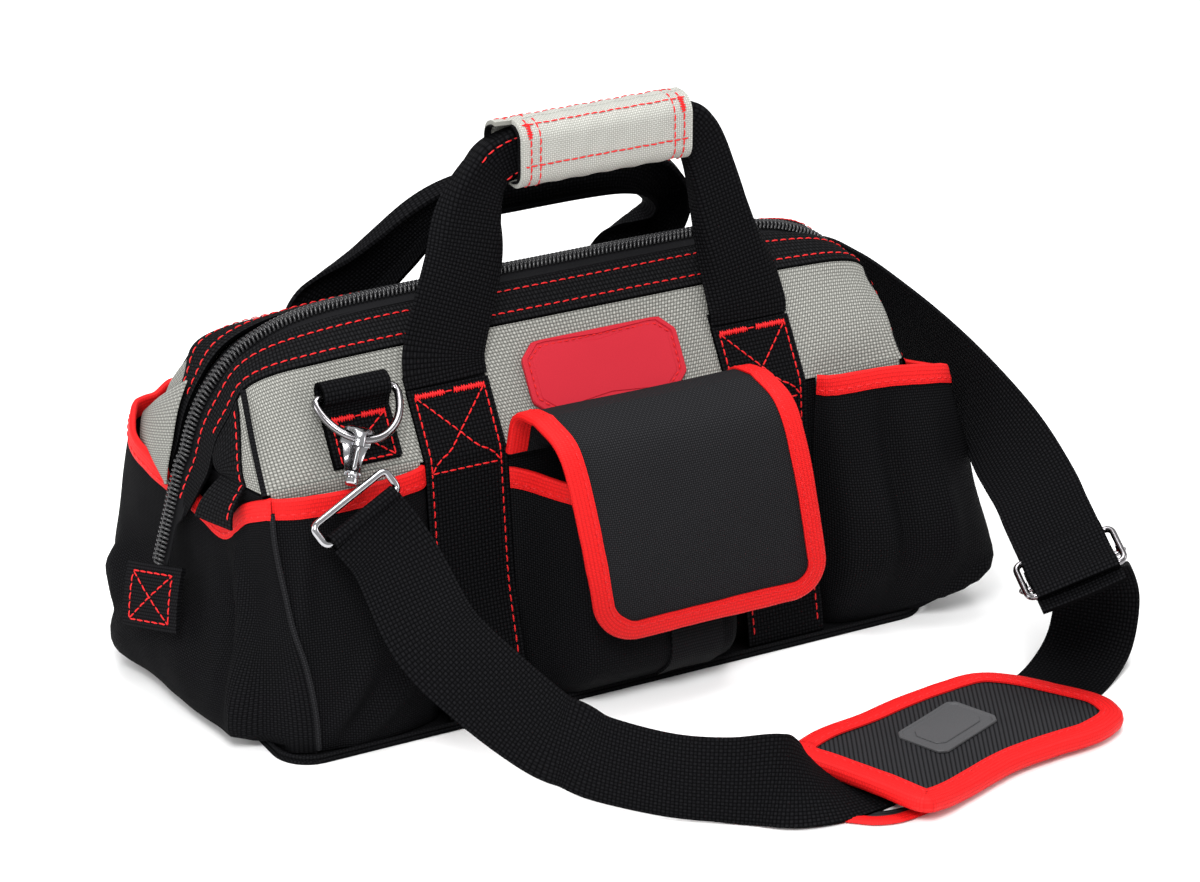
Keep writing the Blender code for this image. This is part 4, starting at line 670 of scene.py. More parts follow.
def left_wrap_pocket(u, v):
    """The end pocket seen in front: its foot sags out over the floor and its mouth dips behind the zip's tail."""
    plan = plan_of(LEFT_WRAP, u, v)
    across, out = plan.y / FOLD, plan.x / L
    middle = (across + 1) / 2
    droop = spline(LEFT_DROOP, min(max(middle, 0), 1)) * smooth((out - 0.93) / 0.06)
    sag = smooth(v / 0.05) * (1 - smooth((v - 0.05) / 0.52)) * smooth((out - 0.97) / 0.04)
    sag *= mix(0.031, 0.022, smooth(middle)) * smooth((1.10 - abs(across)) / (0.32 if across < 0 else 0.12))
    return Vector((plan.x + sag, plan.y, mix(0.0030, mix(WRAP_TOP, WRAP_DIP, droop), level_of(v))))


def mirrored_line(points):
    return points + [mirrored(p) for p in reversed(points[:-1])]


zip_line = mirrored_line([Vector((-x * L, 0, mix(FOLD_Z, RIDGE_Z, height))) for x, height in
                          (row[:2] for row in MOUTH)])
edge_line = mirrored_line([Vector((-x * L, -depth * EDGE_Y, mix(FOLD_Z, EDGE_Z, height)))
                           for x, depth, height in (row[2:] for row in MOUTH)])
CORNER, END = 3 / 16, 4 / 22


def panel_share(u):
    if u < END:
        return mix(0.035, CORNER, u / END)
    if u > 1 - END:
        return 1 - panel_share(1 - u)
    return mix(CORNER, 1 - CORNER, (u - END) / (1 - END * 2))


def upper_panel(u, v):
    along = panel_share(u)
    top = spline(edge_line, along)
    side = -1 if u < 0.5 else 1
    near = min(along, 1 - along)
    foot = Vector((mix(-L, L, (u - END) / (1 - END * 2)), -FOLD, FOLD_Z + 0.0003 + PANEL * 0.6))
    if near < CORNER:
        foot.y = mix(-0.027, -FOLD, near / CORNER)
        foot.x = -side * end_x(foot.y, FOLD_Z)
    return mix(foot, top, v * (1 - 0.0008 / (top - foot).length))


tail_line = [Vector((-x * L, 0, height * FOLD_Z)) for x, height in TAIL]
tail_up = (tail_line[-2] - tail_line[-1]).normalized()
tail_out = Vector((-tail_up.z, 0, tail_up.x))
slope_up = Vector((0, FOLD - EDGE_Y, EDGE_Z - FOLD_Z)).normalized()
slope_out = Vector((0, -slope_up.z, slope_up.y))


def on_slope(x, along, out):
    return Vector((x, -FOLD, FOLD_Z)) + slope_up * along + slope_out * out


ANCHOR = (0.184 - FOLD_Z) / slope_up.z
FOLD_START, FOLD_END = Vector((0, 0, 0.146)), Vector((0, 0, 0.160))
FRONT_BLEND = ("front_mouth", FOLD_START, FOLD_END)
BACK_BLEND = ("back_mouth", FOLD_START, FOLD_END)


# Body cloth

def rounded_rectangle(half_length, half_width, radius, steps=8):
    points = []
    for quarter, (sx, sy) in enumerate(((1, 1), (-1, 1), (-1, -1), (1, -1))):
        for i in range(steps + 1):
            a = (quarter + i / steps) * math.pi / 2
            points.append((sx * (half_length - radius) + radius * math.cos(a),
                           sy * (half_width - radius) + radius * math.sin(a)))
    return points


def base():
    outline = rounded_rectangle(BASE_L, BASE_W, 0.022)
    rings = []
    for inset, z in ((0.0012, 0.0), (0.0003, 0.0003), (0.0, 0.0012), (0.0004, 0.0021), (0.0014, 0.0025)):
        rings.append([Vector((x * (1 - inset / BASE_L), y * (1 - inset / BASE_W), z)) for x, y in outline])
    verts, faces, uvs = loft_data(rings)
    uvs = np.array([(v[0], v[1]) for v in verts])
    seated(mesh_of("base_cloth", verts, faces, uvs), "black_weave", "bag_body", ("base_panel",))
    path = [Vector((x, y, 0.0034)) for x, y in rounded_rectangle(BASE_L - 0.0026, BASE_W - 0.0026, 0.020)]
    tube("base_piping", "black_web", "bag_body", path, 0.0013, sides=8, closed=True)


base()
for name, place, nu, nv, node_name in (
        ("front_wall", front_wall, 40, 16, "front_lower_panel"),
        ("back_wall", turned_place(front_wall), 40, 16, "back_lower_panel"),
        ("left_end", left_end_wall, 24, 20, "left_end_panel"),
        ("right_end", turned_place(left_end_wall), 24, 20, "right_end_panel")):
    slab(name + "_cloth", place, nu, nv, PANEL, "black_weave", "bag_body", (node_name,))

flat_form = wrinkled(creased(flat_pocket, (
    (0.17, 0.02, 0.62, 0.50, 0.050, 0.0060), (0.34, 0.01, 0.95, 0.34, 0.045, 0.0052),
    (0.24, 0.02, 0.80, 0.42, 0.040, -0.0034), (0.06, 0.30, 0.20, 0.95, 0.050, 0.0030))), 0.0015, (26, 12), 3.1)
box_form = wrinkled(box_pocket, 0.0016, (24, 16), 5.7)
back_form = wrinkled(turned_place(double_pocket), 0.0013, (26, 12), 7.9)
wrap_form = wrinkled(creased(wrap_pocket, (
    (0.235, 0.96, 0.245, 0.02, 0.024, -0.0085), (0.315, 0.90, 0.330, 0.05, 0.022, 0.0040),
    (0.265, 0.03, 0.46, 0.26, 0.026, 0.0066), (0.300, 0.02, 0.47, 0.15, 0.020, -0.0040))), 0.0024, (20, 13), 1.3)
left_end_form = wrinkled(turned_place(creased(left_wrap_pocket, (
    (0.90, 0.95, 0.965, 0.03, 0.022, 0.0070), (0.865, 0.85, 0.93, 0.04, 0.020, -0.0048),
    (0.46, 0.06, 0.66, 0.62, 0.035, 0.0050), (0.60, 0.03, 0.78, 0.45, 0.030, 0.0052),
    (0.53, 0.04, 0.72, 0.52, 0.025, -0.0036)))), 0.0030, (20, 13), 9.4)


def seam_share(v):
    return mix(0.16, 0.012, smooth(v / 0.9))


def left_wrap_form(u, v):
    """The end pocket's cloth goes round the corner and over the front as far as the piping."""
    if u < 0.92:
        return left_end_form(u / 0.92 * 0.985, v)
    share = seam_share(v) * (u - 0.92) / 0.08
    return flat_form(share, v) + normal_at(flat_form, share, v) * 0.0013


def light_strip(x0, x1):
    """The light panel's foot behind a pocket's mouth."""
    def place(u, v):
        z = mix(0.138, FOLD_Z + 0.0030, v)
        return Vector((mix(x0, x1, u), wall_y(z) - PANEL / 2 - 0.0002 + max(z - FOLD_Z, 0) * 0.35, z))
    return place


for name, turn, x0, x1 in (("front_left", False, -L + 0.003, LEFT_X - WEB_REACH - 0.001),
                           ("front_right", False, RIGHT_X + WEB_REACH + 0.006, L - 0.003),
                           ("back_left", True, RIGHT_X + WEB_REACH + 0.006, L - 0.003)):
    slab(name + "_light_strip", sided_place(turn)(light_strip(x0, x1)), 12, 8, 0.0006, "panel_weave", "bag_body",
         blend=BACK_BLEND if turn else FRONT_BLEND)

seams = Heap()
for name, form, nu in (("front_left_pocket", flat_form, 40), ("front_centre_pocket", box_form, 64),
                       ("back_pocket", back_form, 90), ("right_wrap_pocket", wrap_form, 96),
                       ("left_wrap_pocket", left_wrap_form, 96)):
    slab(name + "_cloth", form, nu, 34, POCKET, "black_weave", "bag_body", (name,))
    sew(seams, *edge_tape(name + "_tape", *pocket_edge(form, nu), TAPE_W, "bag_body", (name + "_binding",)))


# Webbing down the body and its sewn boxes

def web_form(middle_x, over=0.0):
    """A web from the base to its anchor; over is what it passes over on the wall."""
    seat = GAP + over + WEB_T / 2
    line = []
    for i in range(13):
        z = mix(POCKET_FOOT, WALL_TOP, i / 12)
        line.append(Vector((0, wall_y(z) - seat - 0.011 * (1 - smooth(i / 12 / 0.55)), z)))
    out = max(GAP * 3, over) + WEB_T / 2
    line += [on_slope(0, mix(0.0035, ANCHOR, i / 4), out) for i in range(5)]

    def place(u, v):
        point = spline(line, v)
        return Vector((middle_x + mix(-WEB_W / 2, WEB_W / 2, u), point.y, point.z))
    return place


def web_v(place, z):
    low, high = 0.0, 1.0
    for i in range(24):
        middle = (low + high) / 2
        low, high = (middle, high) if place(0.5, middle).z < z else (low, middle)
    return low


def web_end(u, v, middle_x):
    return on_slope(middle_x + mix(-0.0245, 0.0245, u), ANCHOR + mix(-0.0015, 0.0085, v), 0.0007)


for name, turn, middle_x, over in (("front_left", False, LEFT_X, 0.0), ("front_right", False, RIGHT_X, 0.0),
                                   ("back_right", True, LEFT_X, POCKET + BIND + GAP * 4),
                                   ("back_left", True, RIGHT_X, 0.0)):
    at, blend = sided_place(turn), BACK_BLEND if turn else FRONT_BLEND
    form = at(web_form(middle_x, over))
    slab(name + "_webbing", form, 8, 60, WEB_T, "strap_web", "bag_body", (name + "_web", name + "_anchor"), blend,
         swap=True)
    slab(name + "_web_end", at(lambda u, v, x=middle_x: web_end(u, v, x)), 4, 4, 0.0006, "black_web", blend[0],
         swap=True)
    sewing, rise = Heap(), WEB_T / 2 + 0.0001
    low_v, high_v = web_v(form, 0.144), web_v(form, 0.1815)
    for u in (0.075, 0.925):
        sew(sewing, *line_on(form, (u, 0.03), (u, low_v), rise, 60))
    cross_box(sewing, form, (0.075, low_v), (0.925, high_v), rise)
    sewing.piece(name + "_web_stitches", "thread", "bag_body", (), blend)
seams.piece("pocket_stitches", "thread", "bag_body")


# The mouth: light panels, black bands, zip

COVERED = ((LEFT_X, 0.026), (RIGHT_X, 0.026), (RING_X, 0.021), (BADGE_X, 0.050))


def panel_form(u, v):
    point = upper_panel(u, v)
    normal = normal_at(upper_panel, u, v, 0.012)
    corner = math.exp(-((panel_share(min(u, 1 - u)) - CORNER) / 0.02) ** 2)
    free = 1.0
    for middle_x, half in COVERED:
        free *= smooth((abs(point.x - middle_x) - half) / 0.012)
    puff = math.sin(math.pi * v) * 0.0022 * (1 - corner) * free
    fold = noise.noise(Vector((point.x * 16 + 2.2, point.y * 16, point.z * 26))) * 0.0016 * smooth(v / 0.15)
    fold *= smooth((1 - v) / 0.12) * free
    return point + normal * (puff + fold - PANEL * 0.55)


def with_tails(points, is_edge):
    """A line along the mouth with the tail's points before and after it."""
    left = [spline(tail_line, share) + (Vector((0, -half, 0)) - tail_out * 0.0046 if is_edge else Vector((0, 0, 0)))
            for share, half in ((0.49, 0.0125), (0.33, 0.0172), (0.16, 0.0223))]
    return left + points + [mirrored(p) for p in reversed(left)]


band_inner, band_outer = with_tails(zip_line, False), with_tails(edge_line, True)


def whole_band(u, v):
    crown = Vector((0, 0, 1)) * (math.sin(math.pi * v) * 0.002)
    return mix(spline(band_inner, u), spline(band_outer, u), v) + crown


def band_form(u, v):
    """The band's cloth, from beside the coil to its outer edge."""
    beside_coil = min(0.0105 / max(-spline(band_outer, u).y, 0.001), 1.0)
    return whole_band(u, mix(beside_coil, 1.0, v))


for side, at, blend in (("front", sided_place(False), FRONT_BLEND), ("back", turned_place, BACK_BLEND)):
    slab(side + "_panel_cloth", at(panel_form), 120, 22, PANEL, "panel_weave", side + "_mouth",
         (side + "_upper_panel",))
    slab(side + "_band_cloth", at(band_form), 150, 8, 0.0018, "band_weave", "bag_body", (side + "_band",), blend)


def end_band(u, v):
    """The black band's wide foot over the light gusset; its end hangs over the pocket's mouth."""
    rise = (v - 0.30) / 0.70
    held = max(rise, 0.0)
    share = END * u * mix(0.58, 0.84, smooth(held))
    point = panel_form(share, held) + normal_at(upper_panel, max(share, 0.004), min(max(held, 0.02), 0.98)) * 0.0013
    if rise < 0:
        hang = -rise / 0.4286
        point += Vector((-0.0150 + 0.0060 * u, 0.0060 * (1 - u), -0.024)) * hang
        point += Vector((-0.0030, 0, 0)) * math.sin(math.pi * hang)
    return point


def far_end_band(u, v):
    return mirrored(end_band(1 - u, v))


def back_gusset(u, v):
    """The light gusset left of the zip's end, from the narrow band down into the end pocket's mouth."""
    high = turned(whole_band(mix(0.780, 0.955, u), mix(0.55, 0.30, u)))
    rim = left_wrap_form(mix(0.41, 0.665, u), 1.0)
    low = rim + Vector((0.0042, -0.0012, -0.006))
    bulge = math.sin(math.pi * min(max(v, 0.0), 1.0)) * 0.003
    return mix(low, high, v) + Vector((-bulge, 0, 0)) + Vector((-0.0034, 0.0006, 0.0018)) * v


for name, at, form, edge_u in (("front_near", sided_place(False), end_band, 0.90),
                              ("front_far", sided_place(False), far_end_band, 0.10),
                              ("back_near", turned_place, end_band, 0.90)):
    body = name.split("_")[0] + "_mouth"
    slab(name + "_end_band", at(form), 14, 26, 0.0013, "band_weave", body)
    sewing = Heap()
    sew(sewing, *line_on(at(form), (edge_u, 0.06), (edge_u, 0.97), 0.0008, 30))
    sewing.piece(name + "_end_stitches", "thread", body)
slab("back_left_gusset", back_gusset, 24, 16, 0.0010, "panel_weave", "bag_body", blend=BACK_BLEND)


def zip_path(count):
    """Evenly spaced places on the zip's line with its outward direction, from the left tail to the right."""
    left = [spline(tail_line, 1 - i / 24) for i in range(24)]
    middle = [spline(zip_line, i / 160) for i in range(161)]
    points = np.array([tuple(p) for p in left + middle + [mirrored(p) for p in reversed(left)]])
    reach = lengths(points)
    even = np.linspace(0, reach[-1], count)
    spots = np.stack([np.interp(even, reach, points[:, k]) for k in range(3)], axis=1)
    ahead = np.gradient(spots, axis=0)
    ups = np.stack([-ahead[:, 2], np.zeros(count), ahead[:, 0]], axis=1)
    ups /= np.linalg.norm(ups, axis=1, keepdims=True)
    return spots, ups, reach[-1]


PITCH, COIL_WIRE, ZIP_REACH, TAIL_REACH = 0.0026, 0.00082, 0.0125, 0.0070
TURN = ((0.0040, -0.0010, -0.35), (0.0034, 0.0014, -0.18), (0.0015, 0.0024, 0.0), (-0.0006, 0.0018, 0.10),
        (-0.0012, 0.0000, 0.15), (0.0004, -0.0011, 0.3))
turns = int(zip_path(440)[2] / PITCH) * 2
spots, ups = ([Vector(p) for p in part] for part in zip_path(turns)[:2])
tape_points, tape_ups = zip_path(150)[:2]


def zip_coil(sign):
    """One side's turns; each stands between two of the other side's."""
    coil = Heap()
    for i in range(0 if sign < 0 else 1, turns, 2):
        ahead = (spots[min(i + 1, turns - 1)] - spots[max(i - 1, 0)]).normalized()
        points = [spots[i] + Vector((0, sign * y, 0)) + ups[i] * z + ahead * (x * PITCH) for y, z, x in TURN]
        coil.loft(tube_rings(points, COIL_WIRE, up=tuple(ahead), sides=7))
    return coil


def zip_tape(sign):
    def place(u, v):
        k = u * (len(tape_points) - 1)
        p, up = at_index(tape_points, k), at_index(tape_ups, k)
        wide = ZIP_REACH if p.z > 0.121 else mix(TAIL_REACH, ZIP_REACH, smooth((p.z - 0.112) / 0.009))
        return p + Vector((0, sign * mix(0.0003, wide, v), 0)) + up * (-0.0024 - 0.0004 * v)
    return place


for side, sign, at, blend, far_u, tails in (
        ("front", -1, sided_place(False), FRONT_BLEND, None, ("left_zip_tail", "right_zip_tail")),
        ("back", 1, turned_place, BACK_BLEND, 0.800, ())):
    zip_coil(sign).piece(side + "_coil", "coil", "bag_body", (), blend, sharp=80)
    slab(side + "_zip_tape", facing(zip_tape(sign), Vector((0, 0, -1))), 150, 4, 0.0009, "zip_tape", "bag_body",
         (side + "_zip_half",) + tails, blend)
    sewing = Heap()
    for u, v in ((0.030, 0.50), (0.185, 0.86)):
        sew(sewing, *line_on(at(whole_band), (u, v), (far_u or 1 - u, v), -0.0011, 160))
    sewing.piece(side + "_band_stitches", "thread", "bag_body", (), blend)


def tail_tab():
    across = Vector((0.50, -0.85, 0.10)).normalized()
    down = square_to(Vector((-0.42, 0.08, -0.90)), across)
    top = tail_line[-1] - tail_up * 0.00225
    out = across.cross(down)
    out *= -math.copysign(1, out.x)

    def place(u, v):
        bend = out * (0.0016 * math.sin(math.pi * v) + 0.0010 * math.sin(math.pi * u))
        return top + across * ((u - 0.5) * 0.037) + down * ((1 - v) * 0.036) + bend
    form = facing(place, out)
    slab("end_tab_webbing", form, 10, 10, 0.0042, "black_web", "bag_body", ("left_zip_tab",), swap=True)
    sewing = Heap()
    cross_box(sewing, form, (0.14, 0.12), (0.86, 0.86), 0.0022, tack=False)
    sew(sewing, *line_on(form, (0.14, 0.86), (0.86, 0.86), 0.0026), gap=0.0006)
    sewing.piece("end_tab_stitches", "thread", "bag_body")


tail_tab()


# Badge, ring tabs, rings and hooks

def plate(name, outline, frame_matrix, levels, finish_name, body, stands_for=()):
    """A low plate: the outline scaled by each level's share at its height."""
    rings = []
    for inset, height in levels:
        ring = []
        for x, y in outline:
            reach = math.hypot(x, y)
            ring.append(frame_matrix @ Vector((x * (1 - inset / reach), y * (1 - inset / reach), height)))
        rings.append(ring)
    verts, faces, uvs = loft_data(rings)
    inverse = frame_matrix.inverted()
    uvs = np.array([tuple((inverse @ Vector(v)).xy) for v in verts])
    return seated(mesh_of(name, verts, faces, uvs, sharp=35), finish_name, body, stands_for)


def frame_from(origin, x_axis, y_axis):
    x_axis = Vector(x_axis).normalized()
    z_axis = x_axis.cross(y_axis).normalized()
    axes = Matrix((x_axis, z_axis.cross(x_axis), z_axis)).transposed().to_4x4()
    return Matrix.Translation(origin) @ axes


def eight_sided(half_length, half_height, cut):
    corners = []
    for sx, sy in ((1, 1), (-1, 1), (-1, -1), (1, -1)):
        near = (sx * half_length, sy * (half_height - cut))
        far = (sx * (half_length - cut), sy * half_height)
        corners += [near, far] if sx * sy > 0 else [far, near]
    return [(mix(x, next_x, share), mix(y, next_y, share))
            for (x, y), (next_x, next_y) in zip(corners, corners[1:] + corners[:1]) for share in (0.06, 0.50, 0.94)]


badge_frame = frame_from(on_slope(BADGE_X, 0.0325, 0.0009), (1, 0, 0), slope_up)
badge_outline = eight_sided(0.049, 0.0215, 0.009)
plate("badge_plate", badge_outline, badge_frame,
      ((0.0006, 0.0), (0.0, 0.0006), (0.0, 0.0026), (0.0007, 0.0032), (0.0028, 0.0032), (0.0034, 0.0025),
       (0.0060, 0.0025), (0.0064, 0.0029)), "rubber", "front_mouth", ("badge_patch",))
sewing = Heap()
ring_line = [badge_frame @ Vector((x * 0.925, y * 0.84, 0.00255)) for x, y in badge_outline]
sew(sewing, ring_line + ring_line[:1], [slope_out] * (len(ring_line) + 1), stitch=0.0030, gap=0.0013, radius=0.0004)
sewing.piece("badge_stitches", "thread", "front_mouth")


TAB_FOOT, TAB_CENTRE, TAB_INNER = 0.0065, 0.0475, 0.0052
RING_HALF, RING_REACH, RING_WIRE = 0.0245, 0.031, 0.00225
EYE, SHANK, COLLAR = 0.0075, 0.0175, 0.00105
LOOP_HALF, LOOP_DROP, LOOP_WIRE = 0.0265, 0.013, 0.0021


def rounded_corners(corners, reach):
    """A closed line round the corners, each of them rounded."""
    line = []
    for i, corner in enumerate(corners):
        before = (corners[i - 1] - corner).normalized() * reach
        after = (corners[(i + 1) % len(corners)] - corner).normalized() * reach
        line += [corner + before * (1 - t) ** 2 + after * t**2 for t in (k / 6 for k in range(7))]
    return line


def ring_tab(side, body, at):
    """The web folded round a ring's bar, with its sewn box."""
    middle, outer = TAB_INNER + WEB_T / 2, TAB_INNER + WEB_T
    line = [(TAB_FOOT, WEB_T / 2), (mix(TAB_FOOT, TAB_CENTRE, 0.5), WEB_T / 2)]
    line += [(TAB_CENTRE + middle * math.sin(a), outer - middle * math.cos(a))
             for a in (math.radians(262) * i / 16 for i in range(17))]
    line += [(along, WEB_T * 1.55) for along in (TAB_CENTRE - 0.0105, TAB_CENTRE - 0.016, TAB_FOOT + 0.0008)]
    points = [Vector((0, along, out)) for along, out in line]

    def spot(u, along, out):
        return at(on_slope(RING_X + mix(-0.020, 0.020, u), along, GAP * 2 + out))

    def place(u, v):
        p = spline(points, v)
        return spot(u, p.y, p.z)
    slab(side + "_tab_webbing", place, 6, 64, WEB_T * 0.96, "strap_web", body, (side + "_ring_tab",), swap=True)
    sewing = Heap()
    cross_box(sewing, lambda u, v: spot(u, mix(TAB_FOOT, TAB_CENTRE - 0.0125, v), WEB_T * 2.05),
              (0.10, 0.06), (0.90, 0.93), 0.0002)
    sewing.piece(side + "_tab_stitches", "thread", body)


def d_ring(side, at):
    """The ring's wire; gives the place at an angle round its arch."""
    across = Vector((1, 0, 0))
    down = -slope_up * math.cos(0.36) + slope_out * math.sin(0.36)
    bar = on_slope(RING_X, TAB_CENTRE, GAP * 2 + TAB_INNER + WEB_T) + down * 0.0020

    def spot(x, y):
        return bar + across * (RING_HALF * x) + down * (RING_REACH * y)

    def arch(angle):
        return spot(math.cos(angle), math.sin(angle))
    bends = ((0.0, 0.0), (0.78, 0.0), (0.90, 0.012), (0.975, 0.055))
    line = [spot(x, y) for x, y in bends] + [arch(mix(0.17, math.pi - 0.17, i / 40)) for i in range(41)]
    line += [spot(-x, y) for x, y in reversed(bends[1:])]
    tube(side + "_ring_wire", "gunmetal", side + "_ring", [at(p) for p in line], RING_WIRE, (side + "_d_ring",), 80,
         True, up=tuple(at(across.cross(down))), sides=16)
    return arch


def hook_claw(line, tangent, at):
    """The claw's sections: a rounded block, widest over its bend."""
    rings = []
    for i, (side_way, rise) in enumerate(frames_along(line, tuple(tangent))):
        wide = mix(0.0046, 0.0086, smooth((i - 2) / 9)) if i < 30 else mix(0.0086, 0.0030, smooth((i - 30) / 24))
        rings.append([at(line[i] + side_way * (math.copysign(abs(cos) ** 0.6, cos) * 0.0019)
                         + rise * (math.copysign(abs(sin) ** 0.7, sin) * wide))
                      for cos, sin in ((math.cos(a), math.sin(a)) for a in (math.tau * k / 16 for k in range(16)))])
    return rings


def snap_hook(side, at, arch):
    """The hook's claw, collar and gate; gives its foot and its axis."""
    tangent = (arch(2.0) - arch(1.90)).normalized()
    axis = square_to(Vector((-0.405, -0.530, -0.748)), tangent)
    eye = arch(1.95) + axis * (EYE - LOOP_WIRE - RING_WIRE - GAP)
    out = tangent.cross(axis).normalized()
    out *= -math.copysign(1, out.y)

    def flat(across_out, along):
        return eye + out * across_out + axis * along
    claw = [flat(0, SHANK), flat(-0.0041, SHANK * 0.72), flat(-0.0071, SHANK * 0.38)]
    claw += [flat(EYE * math.cos(a), -EYE * math.sin(a)) for a in (math.pi * (1 - i / 20) for i in range(21))]
    claw.append(flat(0.0073, 0.0034))
    heap = Heap()
    heap.loft(hook_claw([spline(claw, i / 60) for i in range(61)], tangent, at))
    foot = eye + axis * (SHANK - COLLAR)
    heap.loft([[at(foot + axis * z + out * (math.cos(a) * r) + tangent * (math.sin(a) * r))
                for a in (math.tau * k / 20 for k in range(20))]
               for z, r in ((0.0, 0.0022), (0.0004, 0.0034), (0.0016, 0.0037), (0.0022, 0.0031), (0.0034, 0.0029),
                            (0.0040, 0.0036), (0.0062, 0.0037), (0.0069, 0.0030), (0.0070, 0.0012))])
    heap.piece(side + "_hook_body", "chrome", side + "_hook", (side + "_snap_hook",), sharp=40)

    gate = [mix(flat(0.0073, 0.0034 + GAP * 2), flat(0.0031, SHANK - COLLAR - 0.0006 - GAP), i / 10)
            for i in range(11)]
    tube(side + "_gate_pin", "chrome", side + "_gate", [at(p) for p in gate],
         [0.0008, 0.0011] + [0.0012] * 7 + [0.0014, 0.0010], (side + "_hook_gate",), 60, up=tuple(at(tangent)))
    return foot, axis


def hook_loop(side, at, foot, axis, length, fall):
    """The rectangular loop; gives its lower bar's middle, its two directions and the strap's start."""
    length = length.normalized()
    oblique = abs(axis.dot(length))
    reach = (0.0036 * oblique + LOOP_WIRE) / math.sqrt(1 - oblique**2)
    bar = foot + axis * (0.007 + reach + GAP)
    fall = square_to(fall, length)
    corners = [bar + length * (LOOP_HALF * along) + fall * (LOOP_DROP * low)
               for along, low in ((-1, 0), (1, 0), (1, 1), (-1, 1))]
    tube(side + "_loop_wire", "chrome", side + "_ring", [at(p) for p in rounded_corners(corners, 0.0040)], LOOP_WIRE,
         (side + "_hook_loop",), 80, True, up=tuple(at(length.cross(fall))), sides=14)
    return at(bar + fall * LOOP_DROP), at(fall), at(length), at(bar + fall * (LOOP_DROP + LOOP_WIRE + GAP * 3))


LOOPS = {}
for side, turn, length, fall in (("left", False, (0.909, 0.187, 0.374), (0.300, -0.500, -0.810)),
                                 ("right", True, (-0.350, -0.250, 0.900), (-0.850, -0.350, -0.430))):
    ring_tab(side, "back_mouth" if turn else "front_mouth", sided(turn))
    arch = d_ring(side, sided(turn))
    foot, axis = snap_hook(side, sided(turn), arch)
    LOOPS[side] = hook_loop(side, sided(turn), foot, axis, Vector(length), Vector(fall))


# Handles

def handle_lines(legs, top_y, top_z):
    foot = on_slope(0, ANCHOR + WEB_T * 0.7, GAP * 4 + WEB_T / 2)
    run = []
    for number, (foot_x, run_x, shares) in enumerate(legs):
        leg = []
        away = 1 if number else -1
        for x_share, depth, height, fold, turn in shares:
            middle = Vector((mix(run_x, foot_x, x_share), mix(foot.y, top_y, depth), mix(foot.z, top_z, height)))
            tilt = turn * math.pi / 2
            leg.append((middle, Vector((away * math.cos(tilt), 0, math.sin(tilt))), fold))
        run += reversed(leg) if number else leg
    return zip(*run)


def handle(body, legs, top_y, top_z, at):
    """A web whose two edges fold back behind it where a leg narrows."""
    middles, outers, folds = handle_lines(legs, top_y, top_z)
    steps, across = 180, 28
    half, narrow, bend = WEB_W / 2, 0.0125, 0.0030
    grid = []
    for i in range(steps + 1):
        share = i / steps
        middle = spline(middles, share)
        ahead = (spline(middles, min(share + 0.008, 1)) - spline(middles, max(share - 0.008, 0))).normalized()
        outer = square_to(spline(outers, share), ahead)
        front = ahead.cross(outer).normalized()
        if front.y > 0:
            front = -front
        fold = min(max(spline(folds, share), 0), 1)
        angle = math.acos(1 - fold) * 1.12
        crease = mix(half * 0.72, narrow, fold)
        wave = noise.noise(Vector((share * 9, top_z * 30, 0.3))) * 0.0010
        row = []
        for side in (-1, 1):
            x, y, previous, points = 0.0, 0.0, 0.0, []
            for j in range(across // 2 + 1):
                s = half * (j / (across // 2))
                for k in range(6):
                    t = mix(previous, s, (k + 0.5) / 6)
                    a = angle * smooth((t - crease + bend) / (2 * bend)) + 0.10 * (1 - fold) * t / half
                    x += math.cos(a) * (s - previous) / 6
                    y += math.sin(a) * (s - previous) / 6
                previous = s
                points.append(middle + outer * (side * x) - front * (y - 0.0010 + wave * side * t / half))
            row = list(reversed(points))[:-1] + [points[0]] if side < 0 else row + points[1:]
        grid.append([at(p) for p in row])

    def place(u, v):
        i, j = u * across, v * steps
        a, b = min(int(i), across - 1), min(int(j), steps - 1)
        low = mix(grid[b][a], grid[b][a + 1], i - a)
        high = mix(grid[b + 1][a], grid[b + 1][a + 1], i - a)
        return mix(low, high, j - b)
    slab(body + "_webbing", place, across, steps, WEB_T, "strap_web", body, (body + "_web",), swap=True)
    sewing = Heap()
    rise = math.copysign(WEB_T / 2 + 0.0001, normal_at(place, 0.5, 0.5).dot(at(Vector((0, -1, 0)))))
    for u in (0.30, 0.70):
        sew(sewing, *line_on(place, (u, 0.40), (u, 0.60), rise, 60))
    sewing.piece(body + "_webbing_stitches", "thread", body)


handle("front_handle", FRONT_LEGS, GRIP.y, GRIP.z, sided(False))
handle("back_handle", BACK_LEGS, -0.022, 0.264, turned)


# Grip wrap and its flap

def grip_half(front):
    """One half of the wrap: a rounded rectangle found along each direction from the grip's middle."""
    half_length, half_h, half_d, r = 0.0535, 0.0182, 0.0122, 0.0092
    way = 1 if front else -1

    def place(u, v):
        angle = mix(math.pi / 2 + 0.02, 3 * math.pi / 2 - 0.02, v)
        direction = Vector((math.cos(angle) * way, math.sin(angle)))
        low, high = 0.0, 0.04
        for k in range(22):
            m = (low + high) / 2
            p = direction * m
            dx, dy = max(abs(p.x) - (half_d - r), 0), max(abs(p.y) - (half_h - r), 0)
            low, high = (m, high) if math.hypot(dx, dy) < r else (low, m)
        p = direction * low
        x = mix(-half_length, half_length, u)
        if not front:
            x -= 0.010 * smooth((0.16 - u) / 0.16) * smooth((0.72 - v) / 0.2)
        end = smooth((abs(u - 0.5) * 2 - 0.86) / 0.14)
        press = 1 - 0.03 * (1 - end) * abs(math.sin(u * 21.0 + v * 5.0))
        depth = max(-way * p.x * press, 0.00015) if abs(p.x) >= 0.0004 else 0.00015
        return GRIP + Vector((x, -way * depth, p.y * press))
    return facing(place, place(0.5, 0.5) - GRIP)


